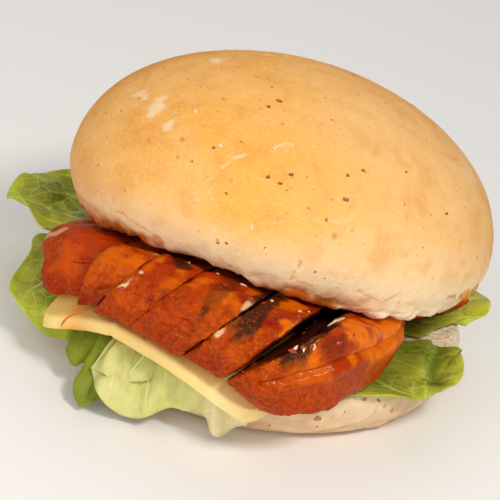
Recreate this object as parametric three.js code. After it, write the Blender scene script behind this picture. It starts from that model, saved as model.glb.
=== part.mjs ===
// A chicken burger: a large wheat bap with lettuce, a slab of cheese and a sliced, glazed chicken fillet.
// Millimetres, +Z up. The origin is the middle of the heel's flat underside, and -Y faces the viewer.

import * as THREE from 'three';

// Driving dimensions of the bread
const HEEL_RADIUS = 57;
const HEEL_TOP = 14.5;
const HEEL_PROFILE = [[0, 0.86], [1, 0.91], [3, 0.955], [6, 0.99], [9, 1.0], [12, 0.995], [14, 0.975]];
const CROWN_CENTRE = new THREE.Vector3(-0.8, -4.1, 29.3);
const CROWN_RADIUS = 59.2;
const CROWN_DEPTH_RATIO = 0.92;
const CROWN_CUT_RATIO = 0.9;
const CROWN_SKIRT = 13.9;
const CROWN_DOME = 39.4;
const CROWN_DOME_POWER = 2.02;
const CROWN_TILT_BACK = THREE.MathUtils.degToRad(-14);
const CROWN_TILT_SIDE = THREE.MathUtils.degToRad(2.7);

// Where the filling pushes the crown's rim up or lets it hang: direction, spread (degrees) and height
const RIM_LIFTS = [[-112, 18, 2.6], [-50, 15, -1.4], [-160, 14, -1.6]];
const LIFT_FILLED = 0.8;
const RIM_EDGE = 0.8;

// The cheese and the chicken lie turned on the heel by this angle
const FILLING_YAW = THREE.MathUtils.degToRad(-25);
const CHEESE = { left: -30, right: 36, front: -64, back: 9, thick: 3.9, top: 23.4, corner: 2.4 };
// The drooping front corner on the left has stretched outwards: how far, and where that starts
const CHEESE_FLARE = 5.5;
const CHEESE_FLARE_BEND = [-42, -64];
const CHEESE_NOTCH = -9;
const CHEESE_DROOP_SPAN = 27;
const CHEESE_DROOP_LEFT = 11;
const CHEESE_DROOP_RIGHT = 8;
const CHEESE_BEND_RADIUS = 53;
const CHEESE_REACH = 71;
const CHEESE_FRONT_BEND = [-25, -45];
const CHEESE_ROW_CROWDING = 1.6;

// The fillet: where each knife cut stands at mid height, and how far it leans for each millimetre up.
// The first and the last are the fillet's own round ends, which stray by FILLET_ENDS at even steps
// from a slice's front to its back.
const CUT_HEIGHT = 32;
const CUTS = [
  { at: -41, lean: -0.1 },
  { at: -19.5, lean: 0.25 },
  { at: -11.2, lean: 0.6 },
  { at: 0.4, lean: 0.68 },
  { at: 17.8, lean: 0.75 },
  { at: 31.4, lean: 0.8 },
  { at: 51, lean: 0.02 },
];
const FILLET_ENDS = {
  first: [[5], [-1], [-2], [0], [3], [5]],
  last: [[-13], [-2.5], [0], [0], [-1.5], [-7], [-11], [-6], [-3]],
};
const CUT_GAP = 0.4;
// The far side of the one cut that stands open, wider towards the top
const OPEN_CUT = { at: 33.3, lean: 0.92 };
const SLICES = [
  { front: -60, back: -8 },
  { front: -64, back: -4 },
  { front: -67, back: -2 },
  { front: -67, back: 2 },
  { front: -65.5, back: 6 },
  { front: -65, back: 36 },
];
const SLICE_POWER = 7;
// The fillet's own ends are rounder than its cut sides
const END_POWERS = { first: 2.6, last: 4.5 };
const SECTION_STEPS = 6;
const SLICE_END = 11;
const NARROWEST = 3;
const TIP_SWELL = 0.42;
const TIP_HEIGHT = 0.45;
const SLICE_TOP = 42.5;
const RIM_CLEARANCE = 0.8;
const SIDE_BED = 16.9;

const GAP = 0.6;
const LEAF_THICK = 0.9;
const LEAF_LEVEL = 15.5;
const LEAF_BEND_RADIUS = HEEL_RADIUS + 1.6;
const RUFFLE_START = HEEL_RADIUS - 3;
const RUFFLE_FULL = HEEL_RADIUS + 7;

const BREAD_CRUST = { color: 0xfec874, roughness: 0.75, metalness: 0 };
const HEEL_CRUST = { color: 0xe8c091, roughness: 0.8, metalness: 0 };
const CHEESE_COLOUR = { color: 0xf2d08c, roughness: 0.45, metalness: 0 };
const CHICKEN_COLOUR = { color: 0xc33a04, roughness: 0.3, metalness: 0 };
const LEAF_GREEN = { color: 0x7f8629, roughness: 0.5, metalness: 0 };
const LEAF_PALE = { color: 0xccc15d, roughness: 0.5, metalness: 0 };

const clamp = THREE.MathUtils.clamp;
const lerp = THREE.MathUtils.lerp;

function smooth(low, high, x) {
  const k = clamp((x - low) / (high - low), 0, 1);
  return k * k * (3 - 2 * k);
}

// A bump of height 1 in the direction `centre`, `spread` wide, all in degrees
function directionBump(angle, centre, spread) {
  const turn = ((angle - centre + 540) % 360 + 360) % 360 - 180;
  return Math.exp(-((turn / spread) ** 2));
}

// Turns a mesh right side out when its enclosed volume comes out negative
function facingOut(positions, triangles) {
  let volume = 0;
  const [a, b, c] = [new THREE.Vector3(), new THREE.Vector3(), new THREE.Vector3()];
  for (const [i, j, k] of triangles) {
    a.fromArray(positions[i]);
    b.fromArray(positions[j]);
    c.fromArray(positions[k]);
    volume += a.dot(b.cross(c));
  }
  const order = volume < 0 ? triangles.map(([i, j, k]) => [i, k, j]) : triangles;
  const geometry = new THREE.BufferGeometry();
  geometry.setAttribute('position', new THREE.Float32BufferAttribute(positions.flat(), 3));
  geometry.setIndex(order.flat());
  geometry.computeVertexNormals();
  return geometry;
}

// A closed body through rings of points, with a middle point closing each end
function loft(rings, firstMiddle, lastMiddle) {
  const count = rings[0].length;
  const positions = [...rings.flat(), firstMiddle, lastMiddle];
  const triangles = [];
  for (let r = 0; r + 1 < rings.length; r++) {
    for (let i = 0; i < count; i++) {
      const j = (i + 1) % count;
      const [low, high] = [r * count, (r + 1) * count];
      triangles.push([low + i, low + j, high + j], [low + i, high + j, high + i]);
    }
  }
  const [first, last, end] = [positions.length - 2, positions.length - 1, (rings.length - 1) * count];
  for (let i = 0; i < count; i++) {
    const j = (i + 1) % count;
    triangles.push([first, j, i], [last, end + i, end + j]);
  }
  return facingOut(positions, triangles);
}

// A thin closed body between an upper and a lower grid, both split into triangles alike
function shell(upper, lower) {
  const rows = upper.length;
  const columns = upper[0].length;
  const positions = [...upper.flat(), ...lower.flat()];
  const under = rows * columns;
  const at = (r, c) => r * columns + c;
  const triangles = [];
  for (let r = 0; r + 1 < rows; r++) {
    for (let c = 0; c + 1 < columns; c++) {
      const [p, q, s, t] = [at(r, c), at(r, c + 1), at(r + 1, c + 1), at(r + 1, c)];
      triangles.push([p, q, s], [p, s, t]);
      triangles.push([under + p, under + s, under + q], [under + p, under + t, under + s]);
    }
  }
  const rim = [];
  for (let c = 0; c < columns; c++) rim.push(at(0, c));
  for (let r = 1; r < rows; r++) rim.push(at(r, columns - 1));
  for (let c = columns - 2; c >= 0; c--) rim.push(at(rows - 1, c));
  for (let r = rows - 2; r > 0; r--) rim.push(at(r, 0));
  rim.forEach((p, i) => {
    const q = rim[(i + 1) % rim.length];
    triangles.push([q, p, under + p], [q, under + p, under + q]);
  });
  return facingOut(positions, triangles);
}

// Points on a grid: `place` turns the shares of the way along the rows and columns into a point
function grid(rows, columns, place) {
  return Array.from({ length: rows + 1 }, (_, r) => (
    Array.from({ length: columns + 1 }, (_, c) => place(r / rows, c / columns))));
}

// The smooth line through a few points, after Catmull and Rom; k runs from 0 to 1 along all of it
function throughPoints(points, k) {
  const last = points.length - 1;
  const i = Math.min(Math.floor(k * last), last - 1);
  const f = k * last - i;
  const b = points[i];
  const c = points[i + 1];
  const a = i > 0 ? points[i - 1] : b.map((x, n) => 2 * x - c[n]);
  const d = i + 2 <= last ? points[i + 2] : c.map((x, n) => 2 * x - b[n]);
  return b.map((_, n) => 0.5 * (2 * b[n] + (c[n] - a[n]) * f
    + (2 * a[n] - 5 * b[n] + 4 * c[n] - d[n]) * f * f
    + (3 * b[n] - a[n] - 3 * c[n] + d[n]) * f * f * f));
}

// The slow unevenness of hand-shaped bread round its outline
function bunUnevenness(angle, seed) {
  return 0.006 * Math.sin(2 * angle + seed) + 0.005 * Math.sin(3 * angle + 2.1 * seed)
    + 0.003 * Math.sin(5 * angle + 0.7 * seed);
}

function heelGeometry() {
  const around = 48;
  const ring = (height, factor) => Array.from({ length: around }, (_, i) => {
    const angle = (i / around) * 2 * Math.PI;
    const radius = HEEL_RADIUS * (factor + bunUnevenness(angle, 1) * smooth(0, 6, height));
    return [radius * Math.cos(angle), radius * Math.sin(angle), height];
  });
  const rings = HEEL_PROFILE.map(([height, factor]) => ring(height, factor));
  rings.push(ring(HEEL_TOP, 0.95), ring(HEEL_TOP, 0.6));
  return loft([ring(0, 0.5), ...rings], [0, 0, 0], [0, 0, HEEL_TOP]);
}

function rimLift(angle) {
  const degrees = THREE.MathUtils.radToDeg(angle);
  const lifts = RIM_LIFTS.map(([at, spread, height]) => height * directionBump(degrees, at, spread));
  return lifts.reduce((sum, lift) => sum + lift, 0);
}

// The crown in its own upright frame: the cut face at height 0, then the skirt and the dome
function crownGeometry() {
  const around = 56;
  const skirtSteps = 4;
  const domeSteps = 10;
  const ring = (height, factor, lift) => Array.from({ length: around }, (_, i) => {
    const angle = (i / around) * 2 * Math.PI;
    const radius = CROWN_RADIUS * factor * (1 + bunUnevenness(angle, 4));
    return [
      radius * Math.cos(angle),
      CROWN_DEPTH_RATIO * radius * Math.sin(angle),
      height + lift * rimLift(angle),
    ];
  });
  const rings = [ring(0, 0.4, 0), ring(0, 0.7, 0.3), ring(0, CROWN_CUT_RATIO - 0.02, 1)];
  for (let i = 0; i <= skirtSteps; i++) {
    const k = i / skirtSteps;
    const bulge = lerp(CROWN_CUT_RATIO, 1, Math.sin(k * Math.PI / 2));
    rings.push(ring(lerp(RIM_EDGE, CROWN_SKIRT, k), bulge, 1 - k));
  }
  for (let i = 1; i < domeSteps; i++) {
    const angle = (i / domeSteps) * Math.PI / 2;
    const height = CROWN_SKIRT + CROWN_DOME * Math.sin(angle) ** (2 / CROWN_DOME_POWER);
    rings.push(ring(height, Math.cos(angle) ** (2 / CROWN_DOME_POWER), 0));
  }
  return loft(rings, [0, 0, 0], [0, 0, CROWN_SKIRT + CROWN_DOME]);
}

const crownTilt = new THREE.Matrix4().makeRotationY(CROWN_TILT_SIDE)
  .multiply(new THREE.Matrix4().makeRotationX(CROWN_TILT_BACK));
const crownUp = new THREE.Vector3(0, 0, 1).transformDirection(crownTilt);

// The height of the crown's cut face over a place on the heel
function crownFace(x, y) {
  const slopeX = crownUp.x / crownUp.z;
  const slopeY = crownUp.y / crownUp.z;
  const [dx, dy] = [x - CROWN_CENTRE.x, y - CROWN_CENTRE.y];
  const reach = Math.hypot(dx, dy / CROWN_DEPTH_RATIO) / (CROWN_RADIUS * CROWN_CUT_RATIO);
  const lift = rimLift(Math.atan2(dy / CROWN_DEPTH_RATIO, dx));
  const share = lift > 0 ? LIFT_FILLED : 1;
  return CROWN_CENTRE.z - slopeX * dx - slopeY * dy + share * lift * smooth(0.75, 1, reach);
}

// From the filling's own directions, across and away, to the part's x and y
function toPart(across, away) {
  const [c, s] = [Math.cos(FILLING_YAW), Math.sin(FILLING_YAW)];
  return [across * c - away * s, across * s + away * c];
}

// The height of the cheese's top face: flat on the heel, and drooping at its two front corners
function cheeseTop(across, away) {
  const overhang = smooth(CHEESE_BEND_RADIUS, CHEESE_REACH, Math.hypot(across, away));
  const left = clamp((CHEESE_NOTCH - across) / CHEESE_DROOP_SPAN, 0, 1.3) ** 1.2;
  const right = clamp((across - CHEESE_NOTCH) / (CHEESE.right - CHEESE_NOTCH), 0, 1.3) ** 1.3;
  const front = smooth(...CHEESE_FRONT_BEND, away);
  return CHEESE.top - front * overhang * (CHEESE_DROOP_LEFT * left + CHEESE_DROOP_RIGHT * right);
}

function cheeseGeometry() {
  const [rows, columns] = [14, 16];
  const halfWidth = (CHEESE.right - CHEESE.left) / 2;
  const halfDepth = (CHEESE.back - CHEESE.front) / 2;
  const face = (drop) => grid(rows, columns, (k, l) => {
    const [u, v] = [l * 2 - 1, k ** CHEESE_ROW_CROWDING * 2 - 1];
    const pull = CHEESE.corner * Math.abs(u * v) ** 8;
    const away = (CHEESE.front + CHEESE.back) / 2 + v * (halfDepth - pull);
    const flare = CHEESE_FLARE * smooth(...CHEESE_FLARE_BEND, away) * (1 - u) / 2;
    const across = (CHEESE.left + CHEESE.right) / 2 + u * (halfWidth - pull) - flare;
    return [across, away, cheeseTop(across, away) - drop];
  });
  return shell(face(0), face(CHEESE.thick));
}

// What the chicken lies on: the cheese, and past its right side and its back the leaf on the heel
function chickenBed(across, away) {
  const pastRight = smooth(CHEESE.right + 4, CHEESE.right + 10, across);
  const pastBack = smooth(CHEESE.back + 2, CHEESE.back + 8, away);
  const onCheese = cheeseTop(Math.min(across, CHEESE.right), away) + GAP;
  return lerp(onCheese, SIDE_BED, Math.max(pastRight, pastBack));
}

function cutAt(cut, height) {
  return cut.at + cut.lean * (height - CUT_HEIGHT);
}

// The height of a surface where a leaning line meets it
function settle(surface, place, away) {
  let height = CUT_HEIGHT;
  for (let i = 0; i < 4; i++) height = surface(place(height), away);
  return height;
}

// A point on the outline of a square from -1 to 1; k runs from 0 to 4, a side at a time
function onSquare(k) {
  const along = (k % 1) * 2 - 1;
  return [[along, -1], [1, along], [-along, 1], [-1, -along]][Math.floor(k)];
}

// One slice: a rounded section swept away from the viewer between two leaning knife cuts
function sliceGeometry(index) {
  const { front, back } = SLICES[index];
  const leftCut = index === SLICES.length - 1 ? OPEN_CUT : CUTS[index];
  const rightCut = CUTS[index + 1];
  const straight = [[0], [0]];
  const leftStray = index === 0 ? FILLET_ENDS.first : straight;
  const rightStray = index === SLICES.length - 1 ? FILLET_ENDS.last : straight;
  const leftPower = index === 0 ? END_POWERS.first : SLICE_POWER;
  const rightPower = index === SLICES.length - 1 ? END_POWERS.last : SLICE_POWER;
  const section = ([away, swell]) => Array.from({ length: 4 * SECTION_STEPS }, (_, i) => {
    const [a, b] = onSquare(i / SECTION_STEPS);
    const power = a < 0 ? leftPower : rightPower;
    const norm = (Math.abs(a) ** power + Math.abs(b) ** power) ** (1 / power);
    const [across, up] = [a / norm, b / norm];
    const along = (away - front) / (back - front);
    const place = (height) => {
      const left = cutAt(leftCut, height) + CUT_GAP / 2 + throughPoints(leftStray, along)[0];
      const right = cutAt(rightCut, height) - CUT_GAP / 2 + throughPoints(rightStray, along)[0];
      return lerp(left, Math.max(right, left + NARROWEST), 0.5 + 0.5 * across);
    };
    const roof = settle(sliceRoof, place, away);
    const floor = settle(chickenBed, place, away);
    const centre = lerp(floor, roof, TIP_HEIGHT);
    const height = centre + (lerp(floor, roof, 0.5 + 0.5 * up) - centre) * swell;
    return [place(height), away, height];
  });
  const stations = [0, 0.25, 0.5, 0.75, 1].map((k) => [
    front + SLICE_END * (1 - Math.cos(k * Math.PI / 2)),
    lerp(TIP_SWELL, 1, Math.sin(k * Math.PI / 2)),
  ]);
  for (const k of [0.07, 0.18, 0.38, 0.58, 0.73, 0.85]) stations.push([lerp(front + SLICE_END, back, k), 1]);
  stations.push([back - 1, 0.9], [back, 0.55]);
  const rings = stations.map(section);
  const middleOf = (ring) => ring.reduce((sum, p) => sum.map((x, n) => x + p[n] / ring.length), [0, 0, 0]);
  return loft(rings, middleOf(rings[0]), middleOf(rings.at(-1)));
}

// The chicken reaches up to the crown's cut face, and its front ends slope down before the rim
function sliceRoof(across, away) {
  const [x, y] = toPart(across, away);
  return Math.min(crownFace(x, y) - RIM_CLEARANCE, SLICE_TOP);
}

// A lettuce leaf: a thin sheet ruled between a hidden inner line and its rim, level on the heel and
// bending past the heel's edge to the rim's own height, with ruffles that grow outside the heel
function leafGeometry({ inner, rim, ruffle, waves, phase, columns, rows }) {
  const base = (u, v) => {
    const a = throughPoints(inner, v);
    const b = throughPoints(rim, v);
    const [x, y] = [lerp(a[0], b[0], u), lerp(a[1], b[1], u)];
    const reach = Math.hypot(b[0], b[1]);
    const past = (Math.hypot(x, y) - LEAF_BEND_RADIUS) / (reach - LEAF_BEND_RADIUS);
    const out = reach > LEAF_BEND_RADIUS + 1 ? clamp(past, 0, 1) : u ** 3;
    return new THREE.Vector3(x, y, lerp(a[2], b[2], out));
  };
  const step = 0.01;
  const normal = (u, v) => {
    const alongU = base(Math.min(u + step, 1), v).sub(base(Math.max(u - step, 0), v));
    const alongV = base(u, Math.min(v + step, 1)).sub(base(u, Math.max(v - step, 0)));
    return alongU.cross(alongV).normalize();
  };
  const side = (offset) => grid(rows, columns, (u, v) => {
    const place = base(u, v);
    const grown = smooth(RUFFLE_START, RUFFLE_FULL, Math.hypot(place.x, place.y));
    const wave = ruffle * grown * Math.sin(2 * Math.PI * waves * v + phase);
    return place.addScaledVector(normal(u, v), wave + offset).toArray();
  });
  return shell(side(LEAF_THICK / 2), side(-LEAF_THICK / 2));
}

// Each leaf's hidden inner line and its rim, both in the same direction round the burger
const LEAVES = {
  leaf_left_upper: {
    inner: [[-38, 26, 18], [-36, 18, 18], [-36, 8, 18], [-37, 0, 18]],
    rim: [[-56, 34, 20], [-65, 30, 22], [-74.5, 21, 21], [-75, 10, 20], [-67, 3, 20], [-58, -2, 20]],
    ruffle: 1.4, waves: 3, phase: 0.4, columns: 26, rows: 7, colour: LEAF_GREEN,
  },
  leaf_left_lower: {
    inner: [
      [-36, 8, LEAF_LEVEL], [-32, 0, LEAF_LEVEL], [-30, -10, LEAF_LEVEL], [-28, -18, LEAF_LEVEL],
      [-22, -24, LEAF_LEVEL],
    ],
    rim: [
      [-58, 6, 15.5], [-64.5, -1, 15.5], [-64, -14, 16.5], [-66, -28, 15], [-62, -33, 10.5], [-54, -37, 6.5],
      [-47, -41, 8], [-44, -50.5, 7], [-40, -50, 8], [-41.5, -59, 4], [-38, -62.5, 3], [-32, -56, 4.5],
    ],
    ruffle: 0.9, waves: 5, phase: 1.9, columns: 40, rows: 7, colour: LEAF_GREEN,
  },
  leaf_pale: {
    inner: [
      [-6, -42, 18.3], [-16, -40, 18.3], [-24, -37, 18.3], [-29, -36, 17.7], [-26, -34, 17],
      [-18, -36, 17], [-8, -39, 17], [2, -41, 17],
    ],
    rim: [
      [-16, -55, 15], [-23, -58, 12], [-32, -60, 11], [-38.5, -55, 10], [-34, -63, 6.5], [-24, -63, 3],
      [-16, -60.5, 7], [-8, -60, 6.5], [-3, -61, 2.5], [4, -60, 7],
    ],
    ruffle: 0.3, waves: 3, phase: 0, columns: 40, rows: 8, colour: LEAF_PALE,
  },
  leaf_right_lower: {
    inner: [
      [8, -42, LEAF_LEVEL], [16, -38, LEAF_LEVEL], [22, -32, LEAF_LEVEL], [28, -24, LEAF_LEVEL],
      [32, -16, LEAF_LEVEL],
    ],
    rim: [
      [18, -55, 16], [28, -49, 16], [38, -46, 16], [47, -41, 16], [55, -35, 17.5], [58, -25, 18.5],
      [56, -13, 17], [46, -12, 16],
    ],
    ruffle: 0.9, waves: 4, phase: 0.6, columns: 32, rows: 7, colour: LEAF_GREEN,
  },
  leaf_right_upper: {
    inner: [[34, -8, LEAF_LEVEL], [34, 2, LEAF_LEVEL], [32, 12, LEAF_LEVEL], [30, 22, LEAF_LEVEL]],
    rim: [
      [46, -9, 16], [50, -3, 16.5], [56.5, 3, 18], [63, 8, 20], [64.5, 12, 20.5], [60, 24, 18],
      [50, 32, 16.5],
    ],
    ruffle: 0.9, waves: 3, phase: 2.2, columns: 26, rows: 7, colour: LEAF_GREEN,
  },
};

function piece(name, geometry, finish) {
  const mesh = new THREE.Mesh(geometry, new THREE.MeshStandardMaterial(finish));
  mesh.name = name;
  return mesh;
}

const group = new THREE.Group();
group.add(piece('heel', heelGeometry(), HEEL_CRUST));

const crown = piece('crown', crownGeometry(), BREAD_CRUST);
crown.applyMatrix4(crownTilt);
crown.position.copy(CROWN_CENTRE);
group.add(crown);

const filling = new THREE.Group();
filling.rotation.z = FILLING_YAW;
filling.add(piece('cheese_slice', cheeseGeometry(), CHEESE_COLOUR));
SLICES.forEach((_, i) => filling.add(piece(`chicken_slice_${i + 1}`, sliceGeometry(i), CHICKEN_COLOUR)));
group.add(filling);

for (const [name, { colour, ...shape }] of Object.entries(LEAVES)) {
  group.add(piece(name, leafGeometry(shape), colour));
}

export default group;
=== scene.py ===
# %% [markdown]
# # A chicken burger
#
# A large wheat bap holds a few lettuce leaves, a thick slab of pale cheese and a grilled chicken fillet
# that was sliced into six and then glazed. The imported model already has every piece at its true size, as
# plain faceted solids. This lesson lays a fine, uneven, food-like surface over each of them, in the same
# place, and then gives each one its finish. Shapes are worked out in millimetres, as a cook or baker would
# measure them, and are turned into Blender's metres at the moment a mesh is made.

# %% The frame that every piece is built around
import itertools
import math

import bpy
import numpy as np
from mathutils import Matrix, Vector


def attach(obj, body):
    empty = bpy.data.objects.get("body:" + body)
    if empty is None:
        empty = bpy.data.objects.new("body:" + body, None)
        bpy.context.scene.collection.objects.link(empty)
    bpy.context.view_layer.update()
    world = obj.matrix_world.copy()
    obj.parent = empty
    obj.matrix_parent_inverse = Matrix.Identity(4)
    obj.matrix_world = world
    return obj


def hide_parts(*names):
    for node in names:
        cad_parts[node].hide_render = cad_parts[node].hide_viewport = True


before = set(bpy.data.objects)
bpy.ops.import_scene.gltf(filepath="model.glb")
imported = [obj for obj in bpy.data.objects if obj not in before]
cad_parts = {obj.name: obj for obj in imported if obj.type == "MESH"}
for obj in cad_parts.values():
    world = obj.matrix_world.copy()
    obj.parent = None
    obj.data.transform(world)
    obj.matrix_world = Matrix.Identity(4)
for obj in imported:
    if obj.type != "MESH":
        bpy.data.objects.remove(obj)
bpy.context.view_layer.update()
MM = 0.001
print("the packed model holds", len(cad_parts), "nodes")

# %% [markdown]
# ## The camera
#
# The picture was taken from about an arm's length with a long lens, looking down at the front of the burger
# with the camera rolled a little, so the burger seems to lean to the right. A camera can be aimed with a
# Track To constraint, but a roll is easier to state by its own three directions: the line of sight, then
# right and up turned about it. Those three directions are the columns of the camera's matrix.

# %% A camera from its aim, distance, tilt and roll
CAMERA_AIM = np.array([-5.3, -18.1, 35.0])
CAMERA_DISTANCE = 620.0
CAMERA_DOWN = math.radians(27)
CAMERA_ROLL = math.radians(13)
CAMERA_LENS = 166.36

sight = Vector((0, math.cos(CAMERA_DOWN), -math.sin(CAMERA_DOWN)))
level_up = Vector((0, math.sin(CAMERA_DOWN), math.cos(CAMERA_DOWN)))
roll = Matrix.Rotation(-CAMERA_ROLL, 3, sight)
camera_right = roll @ Vector((1, 0, 0))
camera_up = roll @ level_up

camera_data = bpy.data.cameras.new("camera")
camera_data.sensor_width = 36
camera_data.lens = CAMERA_LENS
camera_data.clip_start = 0.01
camera = bpy.data.objects.new("camera", camera_data)
columns = Matrix((camera_right, camera_up, -sight)).transposed().to_4x4()
camera.matrix_world = Matrix.Translation((Vector(CAMERA_AIM) - sight * CAMERA_DISTANCE) * MM) @ columns
bpy.context.scene.collection.objects.link(camera)
bpy.context.scene.camera = camera
print("the camera stands at", [round(x, 3) for x in camera.location], "metres")

# %% [markdown]
# ## Light and table
#
# Food is usually lit by large soft boxes: one big key from above and to one side, a weaker one opposite,
# and a white table that throws light back up under the rim of the bread. The glaze is wet, so the boxes
# also draw the small white glints on it. Area lights do both jobs at once. The plain Standard view keeps
# the strong oranges of the glaze, which the default view would wash out.

# %% Soft boxes, a pale world and a pale table
LIGHTS = {
    "key": dict(place=(250, -380, 560), size=130, power=2.3, colour=(1.0, 0.96, 0.90)),
    "front": dict(place=(-30, -660, 250), size=900, power=2.7, colour=(1.0, 0.97, 0.93)),
    "fill": dict(place=(-520, -300, 330), size=800, power=1.6, colour=(1.0, 0.97, 0.94)),
    "back": dict(place=(-60, 420, 460), size=700, power=1.0, colour=(1.0, 0.97, 0.94)),
}
LIGHT_AIM = Vector((0, -15, 35)) * MM
WORLD_COLOUR = (1.0, 0.98, 0.95, 1)
WORLD_STRENGTH = 0.25
TABLE_COLOUR = (0.93, 0.925, 0.915, 1)
TABLE_ROUGHNESS = 0.6
TABLE_SIZE = 4.0

for name, light in LIGHTS.items():
    data = bpy.data.lights.new(name, "AREA")
    data.shape = "SQUARE"
    data.size = light["size"] * MM
    data.energy = light["power"]
    data.color = light["colour"]
    lamp = bpy.data.objects.new(name, data)
    lamp.location = Vector(light["place"]) * MM
    lamp.rotation_mode = "QUATERNION"
    lamp.rotation_quaternion = (LIGHT_AIM - lamp.location).to_track_quat("-Z", "Y")
    bpy.context.scene.collection.objects.link(lamp)

world = bpy.data.worlds.new("studio")
world.use_nodes = True
world.node_tree.nodes["Background"].inputs["Color"].default_value = WORLD_COLOUR
world.node_tree.nodes["Background"].inputs["Strength"].default_value = WORLD_STRENGTH
bpy.context.scene.world = world
bpy.context.scene.view_settings.view_transform = "Standard"

table_mesh = bpy.data.meshes.new("table")
half = TABLE_SIZE / 2
table_corners = [(-half, -half, 0), (half, -half, 0), (half, half, 0), (-half, half, 0)]
table_mesh.from_pydata(table_corners, [], [(0, 1, 2, 3)])
table = bpy.data.objects.new("table", table_mesh)
table_finish = bpy.data.materials.new("pale_table")
table_finish.use_nodes = True
table_shader = table_finish.node_tree.nodes["Principled BSDF"]
table_shader.inputs["Base Color"].default_value = TABLE_COLOUR
table_shader.inputs["Roughness"].default_value = TABLE_ROUGHNESS
table_mesh.materials.append(table_finish)
bpy.context.scene.collection.objects.link(table)
print("lit by", ", ".join(LIGHTS))

# %% [markdown]
# ## From a formula to a mesh
#
# Bread, meat and leaves have no straight lines, so each is a surface: a function of two numbers, worked out
# on a whole grid of points at once with numpy. Two closings cover every piece here. A loft is a stack of
# rings with a point at each end, as for a bun. A shell is an upper and a lower sheet joined round the rim,
# as for a leaf. Sculpting by hand would give softer shapes, but a formula can be changed in one number and
# run again.

# %% Helpers for smooth steps, curves and uneven surfaces
LATTICE_SIZE = 256
LATTICE = np.random.default_rng(11)
SHUFFLE = LATTICE.permutation(LATTICE_SIZE)
HEIGHTS = LATTICE.uniform(-1, 1, LATTICE_SIZE)
LATTICE_WRAP = LATTICE_SIZE - 1
SEED_SHIFT = 7.31


def smooth(low, high, x):
    """0 below low, 1 above high, and the cubic 3k^2 - 2k^3 of the share k of the way between them."""
    k = np.clip((x - low) / (high - low), 0, 1)
    return k * k * (3 - 2 * k)


def lerp(a, b, k):
    """The point a share k of the way from a to b."""
    return a + (b - a) * k


def bump(x, centre, width):
    """A bell of height 1 at the centre: e to the power of minus the squared distance in widths."""
    return np.exp(-(((x - centre) / width) ** 2))


def through_points(points, k):
    """The Catmull-Rom curve through evenly timed points, for k from 0 to 1, with mirrored end points."""
    points = np.asarray(points, float)
    last = len(points) - 1
    i = np.clip((k * last).astype(int), 0, last - 1)
    f = (k * last - i)[..., None]
    padded = np.concatenate([[2 * points[0] - points[1]], points, [2 * points[-1] - points[-2]]])
    a, b, c, d = (padded[i + n] for n in range(4))
    return 0.5 * (2 * b + (c - a) * f + (2 * a - 5 * b + 4 * c - d) * f**2 + (3 * b - a - 3 * c + d) * f**3)


def noise(points, size, seed=0):
    """Smooth unevenness from -1 to 1 with lumps of that size in mm: each corner of the unit cell that a point
    lies in has a random height, and the eight heights are blended with eased weights."""
    q = points / size + seed * SEED_SHIFT
    cell = np.floor(q).astype(int)
    f = q - cell
    f = f * f * (3 - 2 * f)
    total = 0.0
    for corner in itertools.product((0, 1), repeat=3):
        x, y, z = ((cell[..., n] + corner[n]) & LATTICE_WRAP for n in range(3))
        height = HEIGHTS[SHUFFLE[(SHUFFLE[(SHUFFLE[x] + y) & LATTICE_WRAP] + z) & LATTICE_WRAP]]
        weight = np.prod(np.where(corner, f, 1 - f), axis=-1)
        total = total + height * weight
    return total


def roughness(points, size, octaves, seed=0):
    """Noise added up over octaves, each with lumps and height half those of the one before."""
    return sum(noise(points, size / 2**n, seed + n) / 2**n for n in range(octaves))


def rough_layers(points, layers):
    """Roughness of several layers added up, each given as its height in mm, lump size, octaves and seed."""
    return sum(height * roughness(points, size, octaves, seed) for height, size, octaves, seed in layers)


print("noise spans", np.round([noise(np.eye(3) * 9, 4).min(), noise(np.eye(3) * 9, 4).max()], 2))

# %% Helpers for directions, distances and lists of points


def unit(vectors):
    """Each vector divided by its own length."""
    return vectors / np.maximum(np.linalg.norm(vectors, axis=-1, keepdims=True), 1e-9)


def grid_normals(points, wrap):
    """Unit normals of a grid of points: the cross product of its two directions at each point."""
    down = np.gradient(points, axis=0)
    if wrap:
        across = np.roll(points, -1, axis=1) - np.roll(points, 1, axis=1)
    else:
        across = np.gradient(points, axis=1)
    return unit(np.cross(across, down))


def near_path(points, path):
    """The distance of each point from a line of straight pieces, in the plane or in space."""
    best = np.full(points.shape[:-1], np.inf)
    for start, end in zip(path[:-1], path[1:]):
        along = np.subtract(end, start)
        share = np.clip((points - start) @ along / (along @ along), 0, 1)
        best = np.minimum(best, np.linalg.norm(points - start - share[..., None] * along, axis=-1))
    return best


def thin_line(points, path, wide, uneven):
    """1 along the line, eased to 0 at its half width, which an uneven field varies."""
    return 1 - smooth(0.6, 1.3, near_path(points, path) / wide + uneven)


def nearest_to(points, places):
    """The number of the point that lies nearest to each place."""
    return np.array([np.argmin(((points - place) ** 2).sum(axis=-1)) for place in np.asarray(places, float)])


def angles_round(count):
    """Evenly spaced angles, once round."""
    return np.arange(count) / count * 2 * np.pi


def as_list(*grids):
    """The points of one or more grids in one long list."""
    return np.concatenate([np.reshape(grid, (-1, 3)) for grid in grids])


print("four angles round:", np.degrees(angles_round(4)))

# %% Helpers that close a grid and put it into a mesh


def loft_faces(rings, around):
    """Quads between each ring and the next, and a fan of triangles from each of the two end points."""
    i = np.arange(around)
    j = (i + 1) % around
    low = (np.arange(rings - 1) * around)[:, None]
    quads = np.stack([low + i, low + j, low + around + j, low + around + i], axis=-1).reshape(-1, 4)
    first = rings * around
    end = (rings - 1) * around
    fan = np.stack([np.full(around, first), j, i], axis=-1)
    back = np.stack([np.full(around, first + 1), end + i, end + j], axis=-1)
    return quads, np.concatenate([fan, back])


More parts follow.
